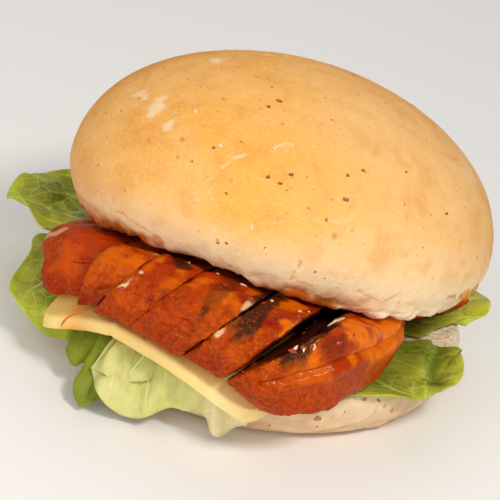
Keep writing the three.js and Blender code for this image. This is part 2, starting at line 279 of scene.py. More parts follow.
def shell_faces(rows, columns):
    """Quads over the upper sheet, the lower sheet turned over, and a wall of quads round the rim."""
    at = np.arange(rows * columns).reshape(rows, columns)
    corners = [at[:-1, :-1], at[:-1, 1:], at[1:, 1:], at[1:, :-1]]
    upper = np.stack(corners, axis=-1).reshape(-1, 4)
    rim = np.concatenate([at[0, :-1], at[:-1, -1], at[-1, :0:-1], at[:0:-1, 0]])
    step = np.roll(rim, -1)
    under = rows * columns
    wall = np.stack([step, rim, rim + under, step + under], axis=-1)
    return np.concatenate([upper, upper[:, ::-1] + under, wall]), np.zeros((0, 3), int)


def enclosed_volume(points, quads, triangles):
    """A sixth of the sum of a . (b x c) over all triangles, which is negative when faces point inwards."""
    split = np.concatenate([quads[:, [0, 1, 2]], quads[:, [0, 2, 3]], triangles])
    a, b, c = (points[split[:, n]] for n in range(3))
    return np.einsum("ij,ij->i", a, np.cross(b, c)).sum() / 6


def make_piece(name, points, faces, finish, channels=None, node=None):
    """A mesh of quads and triangles from points in mm, right side out, shaded smooth, on the part's body."""
    quads, triangles = faces
    if enclosed_volume(points, quads, triangles) < 0:
        quads, triangles = quads[:, ::-1], triangles[:, ::-1]
    mesh = bpy.data.meshes.new(name)
    mesh.vertices.add(len(points))
    mesh.vertices.foreach_set("co", (points * MM).astype(np.float32).ravel())
    sizes = np.concatenate([np.full(len(quads), 4), np.full(len(triangles), 3)])
    mesh.loops.add(int(sizes.sum()))
    corners = np.concatenate([quads.ravel(), triangles.ravel()])
    mesh.loops.foreach_set("vertex_index", corners.astype(np.int32))
    mesh.polygons.add(len(sizes))
    mesh.polygons.foreach_set("loop_start", (np.cumsum(sizes) - sizes).astype(np.int32))
    mesh.polygons.foreach_set("use_smooth", np.ones(len(sizes), bool))
    mesh.update(calc_edges=True)
    for channel, values in (channels or {}).items():
        attribute = mesh.attributes.new(channel, "FLOAT", "POINT")
        attribute.data.foreach_set("value", np.asarray(values, np.float32).ravel())
    mesh.materials.append(finish)
    piece = bpy.data.objects.new(name, mesh)
    bpy.context.scene.collection.objects.link(piece)
    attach(piece, "root")
    if node:
        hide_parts(node)
    print(f"{name}: {len(quads) * 2 + len(triangles)} triangles")
    return piece


print("two rings of 4 points are closed by", sum(len(faces) for faces in loft_faces(2, 4)), "faces")

# %% Flakes: specks, crumbs and drops that lie on a surface
FLAKE_AROUND = 12
# Each ring of a flake, and then its two ends: a share of its radius, and of how far it is raised
FLAKE_RINGS = np.array([(0.85, -0.4), (1.0, 0.05), (0.75, 0.7), (0.4, 0.95)])
FLAKE_ENDS = np.array([[-0.4], [1.0]])
FLAKE_WOBBLE = [(2, 0.18), (3, 0.15), (5, 0.10)]


def flakes(places, normals, sizes, raised, seed, stretch):
    """Small flakes lying on a surface, each a low dome over a wobbling oval that sinks a little into it.
    Returns their points and faces, and for each point the number of its flake."""
    rng = np.random.default_rng(seed)
    count = len(places)
    angle = angles_round(FLAKE_AROUND)
    phase = rng.uniform(0, 2 * np.pi, (3, count, 1))
    wobble = sum((high * np.sin(n * angle + shift) for (n, high), shift in zip(FLAKE_WOBBLE, phase)), 1.0)
    side = unit(np.cross(normals, rng.normal(size=(count, 3))))
    ahead = np.cross(normals, side)
    longer = np.sqrt(rng.uniform(1, stretch, (count, 1)))
    x, y = wobble * np.cos(angle) * longer, wobble * np.sin(angle) / longer
    flat = (side[:, None] * x[..., None] + ahead[:, None] * y[..., None]) * np.reshape(sizes, (-1, 1, 1))
    lift = (normals * np.reshape(raised, (-1, 1)))[:, None, None]
    places = places[:, None]
    rings = places[:, None] + flat[:, None] * FLAKE_RINGS[:, :1, None] + lift * FLAKE_RINGS[:, 1:, None]
    points = np.concatenate([rings.reshape(count, -1, 3), places + lift[:, 0] * FLAKE_ENDS], axis=1)
    quads, triangles = loft_faces(len(FLAKE_RINGS), FLAKE_AROUND)
    start = (np.arange(count) * points.shape[1])[:, None, None]
    faces = (start + quads).reshape(-1, 4), (start + triangles).reshape(-1, 3)
    return points.reshape(-1, 3), faces, np.repeat(np.arange(count), points.shape[1])


def scatter(name, surface, normals, spots, sizes, raised, seed, finish, shades=None, stretch=1.5):
    """One piece of flakes on those points of a surface; each flake may have a shade of its own."""
    points, faces, owner = flakes(surface[spots], normals[spots], sizes, raised, seed, stretch)
    return make_piece(name, points, faces, finish, None if shades is None else {"shade": shades[owner]})


print("a flake has", FLAKE_RINGS.shape[0] * FLAKE_AROUND + 2, "points")

# %% [markdown]
# ## Shared effects for the finishes
#
# Bran specks, cloudy patches, open crumb and a fine net of veins turn up in more than one finish. Each is
# built once as a node group with named inputs, and put into every material with its own values. All of them
# read Object coordinates, so a pattern stays where it is on the piece from every side.

# %% Helpers that add nodes


def add_node(tree, kind, inputs=None, **settings):
    """A new node with its settings, whose named inputs are linked to a socket or set to a value."""
    made = tree.nodes.new(kind)
    for key, value in settings.items():
        setattr(made, key, value)
    for key, value in (inputs or {}).items():
        if isinstance(value, bpy.types.NodeSocket):
            tree.links.new(value, made.inputs[key])
        else:
            made.inputs[key].default_value = value
    return made


def math_of(tree, operation, a, b):
    """A Math node's result for two sockets or numbers."""
    return add_node(tree, "ShaderNodeMath", {0: a, 1: b}, operation=operation).outputs[0]


def times(tree, a, b):
    """One value times another."""
    return math_of(tree, "MULTIPLY", a, b)


def plus(tree, a, b):
    """One value and another added up."""
    return math_of(tree, "ADD", a, b)


def mask_from(tree, value, low, high):
    """0 below low and 1 above high, eased between; low may be above high to turn the mask round."""
    inputs = {"Value": value, "From Min": low, "From Max": high, "To Min": 0.0, "To Max": 1.0}
    return add_node(tree, "ShaderNodeMapRange", inputs, interpolation_type="SMOOTHSTEP").outputs["Result"]


def mix_colour(tree, factor, a, b, blend="MIX"):
    """Colour a where the factor is 0 and colour b where it is 1."""
    mix = add_node(tree, "ShaderNodeMix", {0: factor}, data_type="RGBA", blend_type=blend)
    for index, value in ((6, a), (7, b)):
        if isinstance(value, bpy.types.NodeSocket):
            tree.links.new(value, mix.inputs[index])
        else:
            mix.inputs[index].default_value = (*value, 1)
    return mix.outputs[2]


def channel(tree, name):
    """The value of one of the mesh's own channels."""
    return add_node(tree, "ShaderNodeAttribute", attribute_name=name).outputs["Fac"]


def paint(tree, colour, layers):
    """Colours laid over one another, each where its mask, or the mesh's channel of that name, is 1."""
    for where, tone in layers:
        factor = channel(tree, where) if isinstance(where, str) else where
        colour = mix_colour(tree, factor, colour, tone)
    return colour


def new_group(name, inputs, outputs):
    """An empty node group with number inputs and outputs; returns it with its input and output sockets."""
    group = bpy.data.node_groups.new(name, "ShaderNodeTree")
    for key, value in inputs.items():
        group.interface.new_socket(key, in_out="INPUT", socket_type="NodeSocketFloat").default_value = value
    for key in outputs:
        group.interface.new_socket(key, in_out="OUTPUT", socket_type="NodeSocketFloat")
    return group, group.nodes.new("NodeGroupInput").outputs, group.nodes.new("NodeGroupOutput").inputs


def use_group(tree, group, **values):
    """The group placed in a tree; underscores in the names stand for spaces."""
    placed = add_node(tree, "ShaderNodeGroup", node_tree=group)
    for key, value in values.items():
        placed.inputs[key.replace("_", " ").capitalize()].default_value = value
    return placed.outputs[0]


print("helpers ready:", ", ".join(helper.__name__ for helper in (add_node, mask_from, mix_colour, paint)))

# %% The four shared node groups
SPECK_EDGE = 0.45
PORE_SIZES = ((1.0, 0.6), (2.3, 0.4))
VEIN_WARP = 0.006


def build_specks():
    """Round specks round the centres of the cells, in the share of them whose random value is low."""
    group, given, result = new_group("specks", {"Scale": 300.0, "Size": 0.3, "Share": 0.1}, ["Mask"])
    place = add_node(group, "ShaderNodeTexCoord").outputs["Object"]
    cells = add_node(group, "ShaderNodeTexVoronoi", {"Vector": place, "Scale": given["Scale"]})
    chance = add_node(group, "ShaderNodeSeparateColor", {0: cells.outputs["Color"]}).outputs[0]
    kept = math_of(group, "LESS_THAN", chance, given["Share"])
    varied = plus(group, 0.35, math_of(group, "DIVIDE", chance, given["Share"]))
    radius = times(group, given["Size"], varied)
    near = mask_from(group, cells.outputs["Distance"], radius, times(group, radius, SPECK_EDGE))
    group.links.new(times(group, kept, near), result["Mask"])
    return group


def build_clouds():
    """Cloudy patches: fractal noise, with everything between the two thresholds eased from 0 to 1."""
    inputs = {"Scale": 60.0, "Detail": 4.0, "Low": 0.4, "High": 0.6, "Warp": 0.0}
    group, given, result = new_group("clouds", inputs, ["Mask"])
    place = add_node(group, "ShaderNodeTexCoord").outputs["Object"]
    cloud = add_node(group, "ShaderNodeTexNoise", {
        "Vector": place, "Scale": given["Scale"], "Detail": given["Detail"], "Distortion": given["Warp"]})
    group.links.new(mask_from(group, cloud.outputs["Fac"], given["Low"], given["High"]), result["Mask"])
    return group


def build_pores():
    """Open crumb: pits as deep as the point is near a cell centre, large pits over small ones."""
    group, given, result = new_group("pores", {"Scale": 500.0}, ["Height"])
    place = add_node(group, "ShaderNodeTexCoord").outputs["Object"]
    total = 0.0
    for factor, weight in PORE_SIZES:
        scale = times(group, given["Scale"], factor)
        cells = add_node(group, "ShaderNodeTexVoronoi", {"Vector": place, "Scale": scale})
        open_share = mask_from(group, cells.outputs["Distance"], 0.15, 0.6)
        total = plus(group, total, times(group, open_share, weight))
    group.links.new(total, result["Height"])
    return group


def build_vein_net():
    """A net of fine veins: 1 along the borders between cells, whose place is first warped by noise."""
    group, given, result = new_group("vein_net", {"Scale": 260.0, "Width": 0.08}, ["Mask"])
    place = add_node(group, "ShaderNodeTexCoord").outputs["Object"]
    warp = add_node(group, "ShaderNodeTexNoise", {"Vector": place, "Scale": 90.0, "Detail": 2.0})
    moved = {0: warp.outputs["Color"], 1: (VEIN_WARP,) * 3}
    moved = add_node(group, "ShaderNodeVectorMath", moved, operation="MULTIPLY").outputs[0]
    shifted = add_node(group, "ShaderNodeVectorMath", {0: place, 1: moved}, operation="ADD")
    cells = add_node(group, "ShaderNodeTexVoronoi", {
        "Vector": shifted.outputs[0], "Scale": given["Scale"]}, feature="DISTANCE_TO_EDGE")
    group.links.new(mask_from(group, cells.outputs["Distance"], given["Width"], 0.0), result["Mask"])
    return group


SPECKS = build_specks()
CLOUDS = build_clouds()
PORES = build_pores()
VEIN_NET = build_vein_net()
print("shared groups:", ", ".join(group.name for group in bpy.data.node_groups))

# %% A finish, with its shader and its fine relief


def new_finish(name, soaking=None, **values):
    """A material with its Principled shader; values set the shader's own sockets, spaces as underscores.
    Light soaks into food: soaking is its weight, the reach of red, green and blue, and its scale in mm."""
    material = bpy.data.materials.new(name)
    material.use_nodes = True
    shader = material.node_tree.nodes["Principled BSDF"]
    if soaking:
        weight, radius, scale = soaking
        values.update(Subsurface_Weight=weight, Subsurface_Radius=radius, Subsurface_Scale=scale * MM)
    for key, value in values.items():
        shader.inputs[key.replace("_", " ")].default_value = value
    return material, material.node_tree, shader


def add_bump(tree, shader, height, depth):
    """Fine relief of that depth in mm, which feeds the shader's normal."""
    relief = add_node(tree, "ShaderNodeBump", {"Height": height, "Distance": depth * MM, "Strength": 1.0})
    tree.links.new(relief.outputs["Normal"], shader.inputs["Normal"])


print("helpers ready:", new_finish.__name__, add_bump.__name__)

# %% [markdown]
# ## The bread's finish
#
# The bap's crust is matt and golden, browner where the oven reached it most, paler where it was dusted with
# flour, and full of bran specks. Where it was cut, the crumb is pale and open. One function makes the
# finish for both halves, because they come from the same bap. The mesh carries channels that say where the
# crust is pale, brown, floury, dusted or scuffed, where it is cut, and where the sauce has stained it. On
# the crown, the brown on its left is partly painted shade, and the pale on its right is painted light.

# %% Crust and crumb in one material
CRUST_GOLD = (0.86, 0.42, 0.080)
CRUST_BROWN = (0.68, 0.27, 0.05)
CRUST_PALE = (0.87, 0.64, 0.36)
HEEL_GOLD = (0.75, 0.54, 0.33)
HEEL_PALE = (0.80, 0.63, 0.43)
FLOUR = (0.87, 0.68, 0.42)
DUSTING = (0.88, 0.71, 0.46)
CRUMB = (0.86, 0.70, 0.50)
SPECK_BROWN = (0.45, 0.16, 0.03)
SAUCE_STAIN = (0.50, 0.12, 0.010)
BRAN_DARK, BRAN_LIGHT = (0.24, 0.085, 0.025), (0.62, 0.27, 0.07)
CRUMB_DARK, CRUMB_LIGHT = (0.70, 0.42, 0.18), (0.88, 0.70, 0.46)
BREAD_SOAKING = (0.05, (1.0, 0.5, 0.25), 1.5)
# Flour flecks: scale, threshold and strength. Bran specks: scale, size, share of the cells and strength
FLOUR_FLECKS = [(300, 0.62, 0.15), (90, 0.64, 0.14), (1300, 0.54, 0.20)]
BRAN_SPECKS = [(900, 0.30, 0.05, 0.40), (430, 0.26, 0.07, 0.45), (210, 0.20, 0.08, 0.55)]
BREAD_BUMP = 0.5


def bread_finish(name, gold, pale):
    """Gold mixed with pale and brown by the channels and by clouds, then flecks of flour, dusting, scuffs
    and the cut crumb, then bran specks of three sizes and the sauce's stain on top."""
    material, tree, shader = new_finish(name, BREAD_SOAKING, Roughness=0.7, Specular_IOR_Level=0.12)
    patches = use_group(tree, CLOUDS, scale=42, detail=7, low=0.38, high=0.66, warp=0.5)
    toasted = use_group(tree, CLOUDS, scale=130, detail=8, low=0.45, high=0.75, warp=0.6)
    fine = use_group(tree, CLOUDS, scale=520, detail=3, low=0.3, high=0.75)
    # Browning, and on the crown's left also painted shade, read from the mesh's channel.
    browned_and_shaded = times(tree, channel(tree, "browned_and_shaded"), math_of(tree, "SUBTRACT", 1.25, patches))
    layers = [(times(tree, patches, 0.22), pale), ("pale", pale), (browned_and_shaded, CRUST_BROWN),
              (times(tree, toasted, 0.42), CRUST_BROWN), (times(tree, fine, 0.12), CRUST_BROWN)]
    for scale, low, strength in FLOUR_FLECKS:
        flecks = use_group(tree, CLOUDS, scale=scale, detail=6, low=low, high=low + 0.07, warp=0.3)
        layers.append((times(tree, flecks, times(tree, channel(tree, "floury"), strength)), FLOUR))
    dusted = times(tree, channel(tree, "dusted"), plus(tree, 0.35, fine))
    layers += [(dusted, DUSTING), ("scuff", FLOUR), ("crumb", CRUMB)]
    for scale, size, share, strength in BRAN_SPECKS:
        specks = use_group(tree, SPECKS, scale=scale, size=size, share=share)
        layers.append((times(tree, specks, strength), SPECK_BROWN))
    layers.append((times(tree, channel(tree, "stained"), plus(tree, 0.55, patches)), SAUCE_STAIN))
    tree.links.new(paint(tree, gold, layers), shader.inputs["Base Color"])
    pits = times(tree, use_group(tree, PORES, scale=480), channel(tree, "crumb"))
    skin = times(tree, use_group(tree, CLOUDS, scale=900, detail=4, low=0.2, high=0.8), 0.12)
    add_bump(tree, shader, plus(tree, pits, skin), BREAD_BUMP)
    return material


def flake_finish(name, dark, light):
    """Flakes that run from dark to light by their own shade."""
    material, tree, shader = new_finish(name, Roughness=0.6, Specular_IOR_Level=0.25)
    tree.links.new(paint(tree, dark, [("shade", light)]), shader.inputs["Base Color"])
    return material


crown_finish = bread_finish("bap_crust", CRUST_GOLD, CRUST_PALE)
heel_finish = bread_finish("bap_base_crust", HEEL_GOLD, HEEL_PALE)
bran_finish = flake_finish("bran", BRAN_DARK, BRAN_LIGHT)
crumb_finish = flake_finish("bread_crumb", CRUMB_DARK, CRUMB_LIGHT)
print("bread finishes:", crown_finish.name, heel_finish.name, bran_finish.name, crumb_finish.name)

# %% [markdown]
# ## The heel
#
# The heel is the bottom half of the bap: flat where it lay on the baking sheet, widest a little above it,
# and cut level on top. Its outline wobbles slowly, as hand-shaped dough does. It could be a sphere that is
# cut and flattened, but rings of a stated radius at each height keep the outline of the solid below.

# %% Shape of the heel
HEEL_RADIUS = 57.0
HEEL_TOP = 14.5
# The crust's profile: each height, and the radius there as a share of the heel's
HEEL_PROFILE = [(0, 0.86), (1, 0.91), (3, 0.955), (6, 0.99), (9, 1.0), (12, 0.995), (14, 0.975), (14.5, 0.95)]
HEEL_AROUND = 480
HEEL_LUMPS = [(0.45, 13, 3, 3), (0.12, 2.6, 2, 5)]
HEEL_CREASE = 0.5
CRUMB_DEPTH = 0.55
# The outline's wobble: times round, height as a share of the radius, and how the seed shifts it
BUN_WOBBLE = [(2, 0.006, 1), (3, 0.005, 2.1), (5, 0.003, 0.7)]


def bun_unevenness(angle, seed):
    """The slow wobble of the outline: three sines that go 2, 3 and 5 times round."""
    return sum(high * np.sin(n * angle + shift * seed) for n, high, shift in BUN_WOBBLE)


def heel_grid():
    """Rings from the middle of the underside out, up the crust and in over the cut face: a radius factor
    and a height each, with the crust's factor read between the profile's points."""
    base = np.linspace(0.05, 0.86, 26)[:-1]
    rise = np.linspace(0, HEEL_TOP, 46)
    inward = np.linspace(0.95, 0.03, 60)[1:]
    factor = np.concatenate([base, np.interp(rise, *np.transpose(HEEL_PROFILE)), inward])
    height = np.concatenate([np.zeros(len(base)), rise, np.full(len(inward), HEEL_TOP)])
    cut = np.concatenate([np.zeros(len(base)), smooth(12.6, 14.2, rise), np.ones(len(inward))])
    angle = angles_round(HEEL_AROUND)
    factor, height, cut = (x[:, None] for x in (factor, height, cut))
    radius = HEEL_RADIUS * (factor + bun_unevenness(angle, 1) * smooth(0, 6, height))
    points = np.stack(np.broadcast_arrays(radius * np.cos(angle), radius * np.sin(angle), height), axis=-1)
    return points, np.broadcast_to(cut, radius.shape)


def heel_relief(points, cut):
    """Soft dents and creases on the crust, and an open, torn crumb on the cut face; none on the underside."""
    above = smooth(0.2, 2.5, points[..., 2])
    creases = -HEEL_CREASE * (1 - smooth(0, 0.12, np.abs(noise(points * (1, 1, 2.2), 17, 8))))
    crumb = CRUMB_DEPTH * (np.minimum(roughness(points, 2.4, 3, 9), 0.25) - 0.4)
    return above * lerp(rough_layers(points, HEEL_LUMPS) + creases, crumb, cut)


heel_points, heel_cut = heel_grid()
heel_points = heel_points - grid_normals(heel_points, True) * heel_relief(heel_points, heel_cut)[..., None]
heel_all = as_list(heel_points, [[0, 0, 0], [0, 0, HEEL_TOP - 0.3]])
heel_height = heel_all[:, 2]
print("heel:", heel_points.shape[0], "rings of", HEEL_AROUND)

# %% Channels of the heel, and its bran
# Large specks of bran by their place and radius
HEEL_SPECKS = [(21.3, -52.3, 9, 0.9), (41.3, -38.8, 8.7, 0.7), (32.4, -45.2, 13.3, 0.7),
               (36.5, -42.5, 12.5, 0.6)]
HEEL_SMALL_SPECKS = 60

heel_torn = smooth(48, 52, heel_all[:, 0]) * smooth(6, 9, heel_height + 2 * noise(heel_all, 6, 22))
heel_channels = {
    "crumb": np.maximum(np.append(heel_cut.ravel(), [0, 1]), 0.8 * heel_torn),
    "pale": 0.6 * smooth(4, 12, heel_height),
    "browned_and_shaded": 0.25 * (1 - smooth(0, 3.0, heel_height)),
    "floury": 0.8 * smooth(1, 4, heel_height),
    "dusted": 0.5 * smooth(0.0, 0.4, roughness(heel_all, 7, 4, 25)) * smooth(1, 3, heel_height),
    "stained": 0 * heel_height,
    "scuff": 0.7 * smooth(0.25, 0.4, roughness(heel_all, 9, 3, 21)) * smooth(1, 3, heel_height),
}
make_piece("heel_crust", heel_all, loft_faces(*heel_points.shape[:2]), heel_finish,
           heel_channels, "heel")

rng = np.random.default_rng(5)
named = np.array(HEEL_SPECKS)
heel_side = np.flatnonzero((heel_height > 2) & (heel_height < 13))
spots = np.append(nearest_to(heel_all, named[:, :3]), rng.choice(heel_side, HEEL_SMALL_SPECKS))
sizes = np.append(named[:, 3], rng.uniform(0.15, 0.4, HEEL_SMALL_SPECKS))
scatter("heel_bran", heel_all, unit(heel_all * (1, 1, 0)), spots, sizes, 0.10, 6, bran_finish,
        rng.uniform(0.3, 1, len(spots)))

# %% [markdown]
# ## The crown
#
# The crown is a low dome on a short, nearly upright skirt. The thick end of the chicken props its front up,
# so the whole crown is tilted back, and its rim is pushed up where the chicken is thickest and sags beside
# it. Its rim is torn rather than cut clean. A sculpted sphere could look the same, but the skirt, the dome
# and the lifts each have their own numbers here, which makes the rim easy to fit to the filling.

# %% Shape of the crown
CROWN_CENTRE = np.array([-0.8, -4.1, 29.3])
CROWN_RADIUS = 59.2
CROWN_DEPTH_RATIO = 0.92
CROWN_CUT_RATIO = 0.9
CROWN_SKIRT = 13.9
CROWN_DOME = 39.4
CROWN_POWER = 2 / 2.02
CROWN_TILT_BACK = math.radians(-14)
CROWN_TILT_SIDE = math.radians(2.7)
# Each lift of the rim: its direction in degrees, how far it spreads, and its height
RIM_LIFTS = [(-112, 18, 2.6), (-50, 15, -1.4), (-160, 14, -1.6)]
LIFT_FILLED = 0.8
RIM_EDGE = 0.8
CROWN_AROUND = 500
CROWN_LUMPS = [(0.28, 30, 2, 2), (0.05, 4.5, 3, 4)]
WRINKLE_HEIGHT = 0.16
TORN_RIM = 0.9
CUT_FACE_RELIEF = 0.4
RAG_HEIGHT = 2.0
CROWN_MIDDLE = 16.0

crown_turn = np.array(Matrix.Rotation(CROWN_TILT_SIDE, 3, "Y") @ Matrix.Rotation(CROWN_TILT_BACK, 3, "X"))


def rim_lift(angle):
    """How far the filling lifts the rim in that direction: one bell of the angle for each lift."""
    degrees = np.degrees(angle)
    turns = [((degrees - at + 540) % 360) - 180 for at, _, _ in RIM_LIFTS]
    return sum(height * bump(turn, 0, spread) for turn, (_, spread, height) in zip(turns, RIM_LIFTS))


def crown_grid():
    """Rings from the middle of the cut face out, up the skirt and over the dome. The skirt bulges as a
    quarter sine. The dome is a superellipse: height by a power of the sine, radius by one of the cosine."""
    face = np.linspace(0.02, CROWN_CUT_RATIO - 0.02, 22)
    k = np.linspace(0, 1, 34)
    a = np.linspace(0, 0.998, 112)[1:] * np.pi / 2
    skirt = lerp(CROWN_CUT_RATIO, 1, np.sin(k * np.pi / 2))
    dome = CROWN_SKIRT + CROWN_DOME * np.sin(a) ** CROWN_POWER
    factor = np.concatenate([face, skirt, np.cos(a) ** CROWN_POWER])
    height = np.concatenate([0 * face, lerp(RIM_EDGE, CROWN_SKIRT, k), dome])
    lift = np.concatenate([np.interp(face, [0.4, 0.7, 0.88], [0, 0.3, 1]), 1 - k, 0 * a])
    angle = angles_round(CROWN_AROUND)
    factor, height, lift = (x[:, None] for x in (factor, height, lift))
    radius = CROWN_RADIUS * factor * (1 + bun_unevenness(angle, 4))
    height = height + lift * rim_lift(angle)
    across, away = radius * np.cos(angle), CROWN_DEPTH_RATIO * radius * np.sin(angle)
    return np.stack(np.broadcast_arrays(across, away, height), axis=-1)


print("the rim is lifted by", rim_lift(np.radians(-112)).round(1), "mm over the thick end of the chicken")

# %% Relief of the crown


def crown_wrinkles(points):
    """Thin raised folds of the skin: 1 where slow noise crosses zero, where other noise allows it."""
    stretched = points * (0.8, 1, 1.5)
    line = 1 - smooth(0, 0.035, np.abs(roughness(stretched, 17, 4, 31)))
    return line * smooth(0.1, 0.45, noise(points, 19, 6)) * smooth(12, 20, points[..., 2])


def crown_relief(points):
    """Slow lumps, small dimples, raised wrinkles, a torn edge round the rim and crumb on the cut face."""
    height = points[..., 2]
    reach = np.hypot(points[..., 0], points[..., 1] / CROWN_DEPTH_RATIO) / CROWN_RADIUS
    rim = bump(height, 0.6, 2.4) * smooth(0.8, 0.88, reach)
    torn = TORN_RIM * rim * roughness(points, 3.4, 3, 12)
    inside = 1 - smooth(0, 0.4, height)
    crumb = inside * CUT_FACE_RELIEF * roughness(points, 2.4, 2, 9)
    lumps = rough_layers(points, CROWN_LUMPS) * (1 - inside)
    return lumps + WRINKLE_HEIGHT * crown_wrinkles(points) + torn + crumb


def rim_rags(points):
    """How far the torn rim is pulled up at each place: sharp noise round the edge, dying out up the skirt."""
    edge = points * (1, 1, 0)
    rags = np.maximum(roughness(edge, 7, 4, 13), 0) + 0.5 * np.maximum(noise(edge, 2.2, 14), 0)
    fading = 1 - smooth(0.5, 7, points[..., 2])
    return RAG_HEIGHT * rags * fading - 0.4 * np.maximum(noise(edge, 3.1, 15), 0)


def place_crown(points):
    """Crown points turned by its two tilts and carried to its place on the filling."""
    return points @ crown_turn.T + CROWN_CENTRE


crown_points = crown_grid()
outwards = unit(crown_points - (0, 0, CROWN_MIDDLE))
crown_shape = crown_points + outwards * crown_relief(crown_points)[..., None]
crown_shape[..., 2] += rim_rags(crown_points)
crown_ends = np.array([[0, 0, 0], [0, 0, CROWN_SKIRT + CROWN_DOME]])
crown_ends = crown_ends + np.array([[0, 0, 0], [0, 0, 1]]) * crown_relief(crown_ends)[:, None]
crown_all = as_list(crown_shape, crown_ends)
print("crown:", crown_points.shape[0], "rings of", CROWN_AROUND)

# %% [markdown]
# Where the crust is browner or paler mostly follows from the oven and the hands: brown on the back, pale
# low down in front, floury in a few scuffs and raised folds, brown in a few fine cracks, and stained by the
# sauce where the rim rests on the chicken. Brown on the left is partly browning and partly painted shade,
# and pale towards the right is painted light, where the key lamp falls. Each of these is a channel: one
# number for each point of the mesh, which the finish reads.

# %% Channels of the crown
# Floury scuffs by their place in the part and their radius
SCUFFS = [(-42.5, -15.8, 71, 2.4), (-37.4, -24.7, 71.8, 3.4), (-32.5, -31.3, 71.6, 2.2), (-26, -2, 79, 2.5)]
# Lines of the crust's front, each through a few places given by x and z
CROWN_CRACKS = [
    [(-46.5, 47.5), (-42, 47), (-36, 47.3), (-31, 47.2)],
    [(8.2, 54), (6.5, 48.5), (6.3, 45), (4, 40)],
    [(6.6, 49), (12, 46.5), (14, 43), (16.5, 40)],
    [(23.7, 46.6), (27.5, 43.3), (30.5, 42.2), (34.7, 45.6)],
]
CROWN_FOLDS = [
    [(-17.4, 68.4), (-16.1, 70.1), (-13.9, 71.7), (-11.5, 73)],
    [(-5.8, 74.7), (-4.3, 75.8), (-3, 76.4), (-0.6, 76.2)],
    [(-46, 50.7), (-45.1, 48), (-44, 44.3)],
    [(8.9, 54), (7.3, 48.7), (7.1, 45)],
    [(7.2, 49.6), (12.4, 47.2), (14.6, 43.5)],
]
# Large specks of bran by their place in the part and their radius
LARGE_SPECKS = [
    (15.2, -44.7, 68, 1.3), (41.9, -28.8, 63.7, 0.9), (-6.8, -24.1, 81.5, 1.3), (-9, -26.6, 80.5, 1.0),
    (0.2, -44.1, 71.6, 1.0), (14.6, -39.4, 72.8, 0.9), (18.3, -36.3, 73.8, 0.9), (-13.6, -52.3, 52.6, 0.7),
    (-11.6, -52.9, 53.1, 0.7), (-20, -40, 72, 0.8), (-2, -46, 69, 0.9), (-5, -45.5, 69.5, 1.0),
    (30, -30, 74, 0.7),
]
SMALL_SPECKS = 420
FLOUR_SPECKS = 110
CRACK_WIDTH, FOLD_WIDTH = 0.25, 0.28

crown_placed = place_crown(crown_all)
direction = np.degrees(np.arctan2(crown_all[:, 1], crown_all[:, 0]))
crown_height = crown_all[:, 2]
low_rim = 1 - smooth(0.5, 6.0, crown_height + 2.0 * roughness(crown_all, 3.5, 4, 14))
low_crust = smooth(15, 3, crown_height)
stained_side = smooth(-185, -160, direction) * (1 - smooth(-66, -50, direction))
front_side = smooth(-150, -110, direction) * (1 - smooth(-10, 40, direction))
# Painted light: the crust is paler towards the right, and its pale rim reaches higher there, where the key
# lamp falls.
lit_right_share = smooth(-15, 50, crown_placed[:, 0])
pale_rim = smooth(lerp(20, 40, lit_right_share), 3, crown_height) * (1 - 0.6 * smooth(60, 150, direction))


def crown_lines(lines, wide):
    """1 along the lines on the crown's front, which is seen flat: x and z, a little uneven."""
    front_view = crown_placed[:, [0, 2]] + 0.8 * roughness(crown_all, 4, 3, 28)[:, None]
    uneven = 0.7 * roughness(crown_all, 2.5, 3, 24)
    facing = smooth(0, -30, crown_placed[:, 1])
    return facing * np.maximum.reduce([thin_line(front_view, line, wide, uneven) for line in lines])


spread = 0.8 * np.append(crown_wrinkles(crown_points).ravel(), [0, 0])
for *place, size in SCUFFS:
    distance = np.linalg.norm(crown_placed - place, axis=1) / size
    spread = np.maximum(spread, 1 - smooth(0.7, 1.0, distance + 0.8 * roughness(crown_all, 2.4, 4, 23)))
cracks = crown_lines(CROWN_CRACKS, CRACK_WIDTH)
browned_back = 0.8 * smooth(-25, 50, crown_placed[:, 1])
# Browner towards the left: partly browning and partly painted shade, away from the key lamp.
browned_and_shaded_left = 0.45 * smooth(15, 60, -crown_placed[:, 0])
folds = crown_lines(CROWN_FOLDS, FOLD_WIDTH)
spread = np.maximum(spread, folds * smooth(-0.5, 0.2, noise(crown_all, 3, 29)))
crown_channels = {
    "crumb": 1 - smooth(0.2, 0.9, crown_height),
    "browned_and_shaded": browned_back + browned_and_shaded_left + cracks,
    "pale": np.maximum(pale_rim, 0.45 * lit_right_share),
    "floury": lerp(0.5, 1.0, smooth(20, -35, crown_placed[:, 0])),
    "dusted": low_crust * front_side * (1 - cracks),
    "stained": 0.9 * low_rim * stained_side,
    "scuff": 0.65 * spread,
}
make_piece("crown_crust", crown_placed, loft_faces(*crown_points.shape[:2]), crown_finish,
           crown_channels, "crown")

# %% Bran and flour on the crown
SPECK_SPREAD = 60
SPECK_MIDDLE = 14.0
BRAN_SHRINK = 0.62

speck_middle = place_crown(np.array([0, 0, SPECK_MIDDLE]))
crown_out = unit(crown_placed - speck_middle)


def spots_over_crown(rng, count, lowest):
    """The crown's points that are nearest to random aims all round its middle, none below the lowest."""
    aims = rng.normal(size=(count, 3)) * SPECK_SPREAD + speck_middle
    aims[:, 2] = np.abs(aims[:, 2] - 30) + lowest
    return nearest_to(crown_placed, aims)


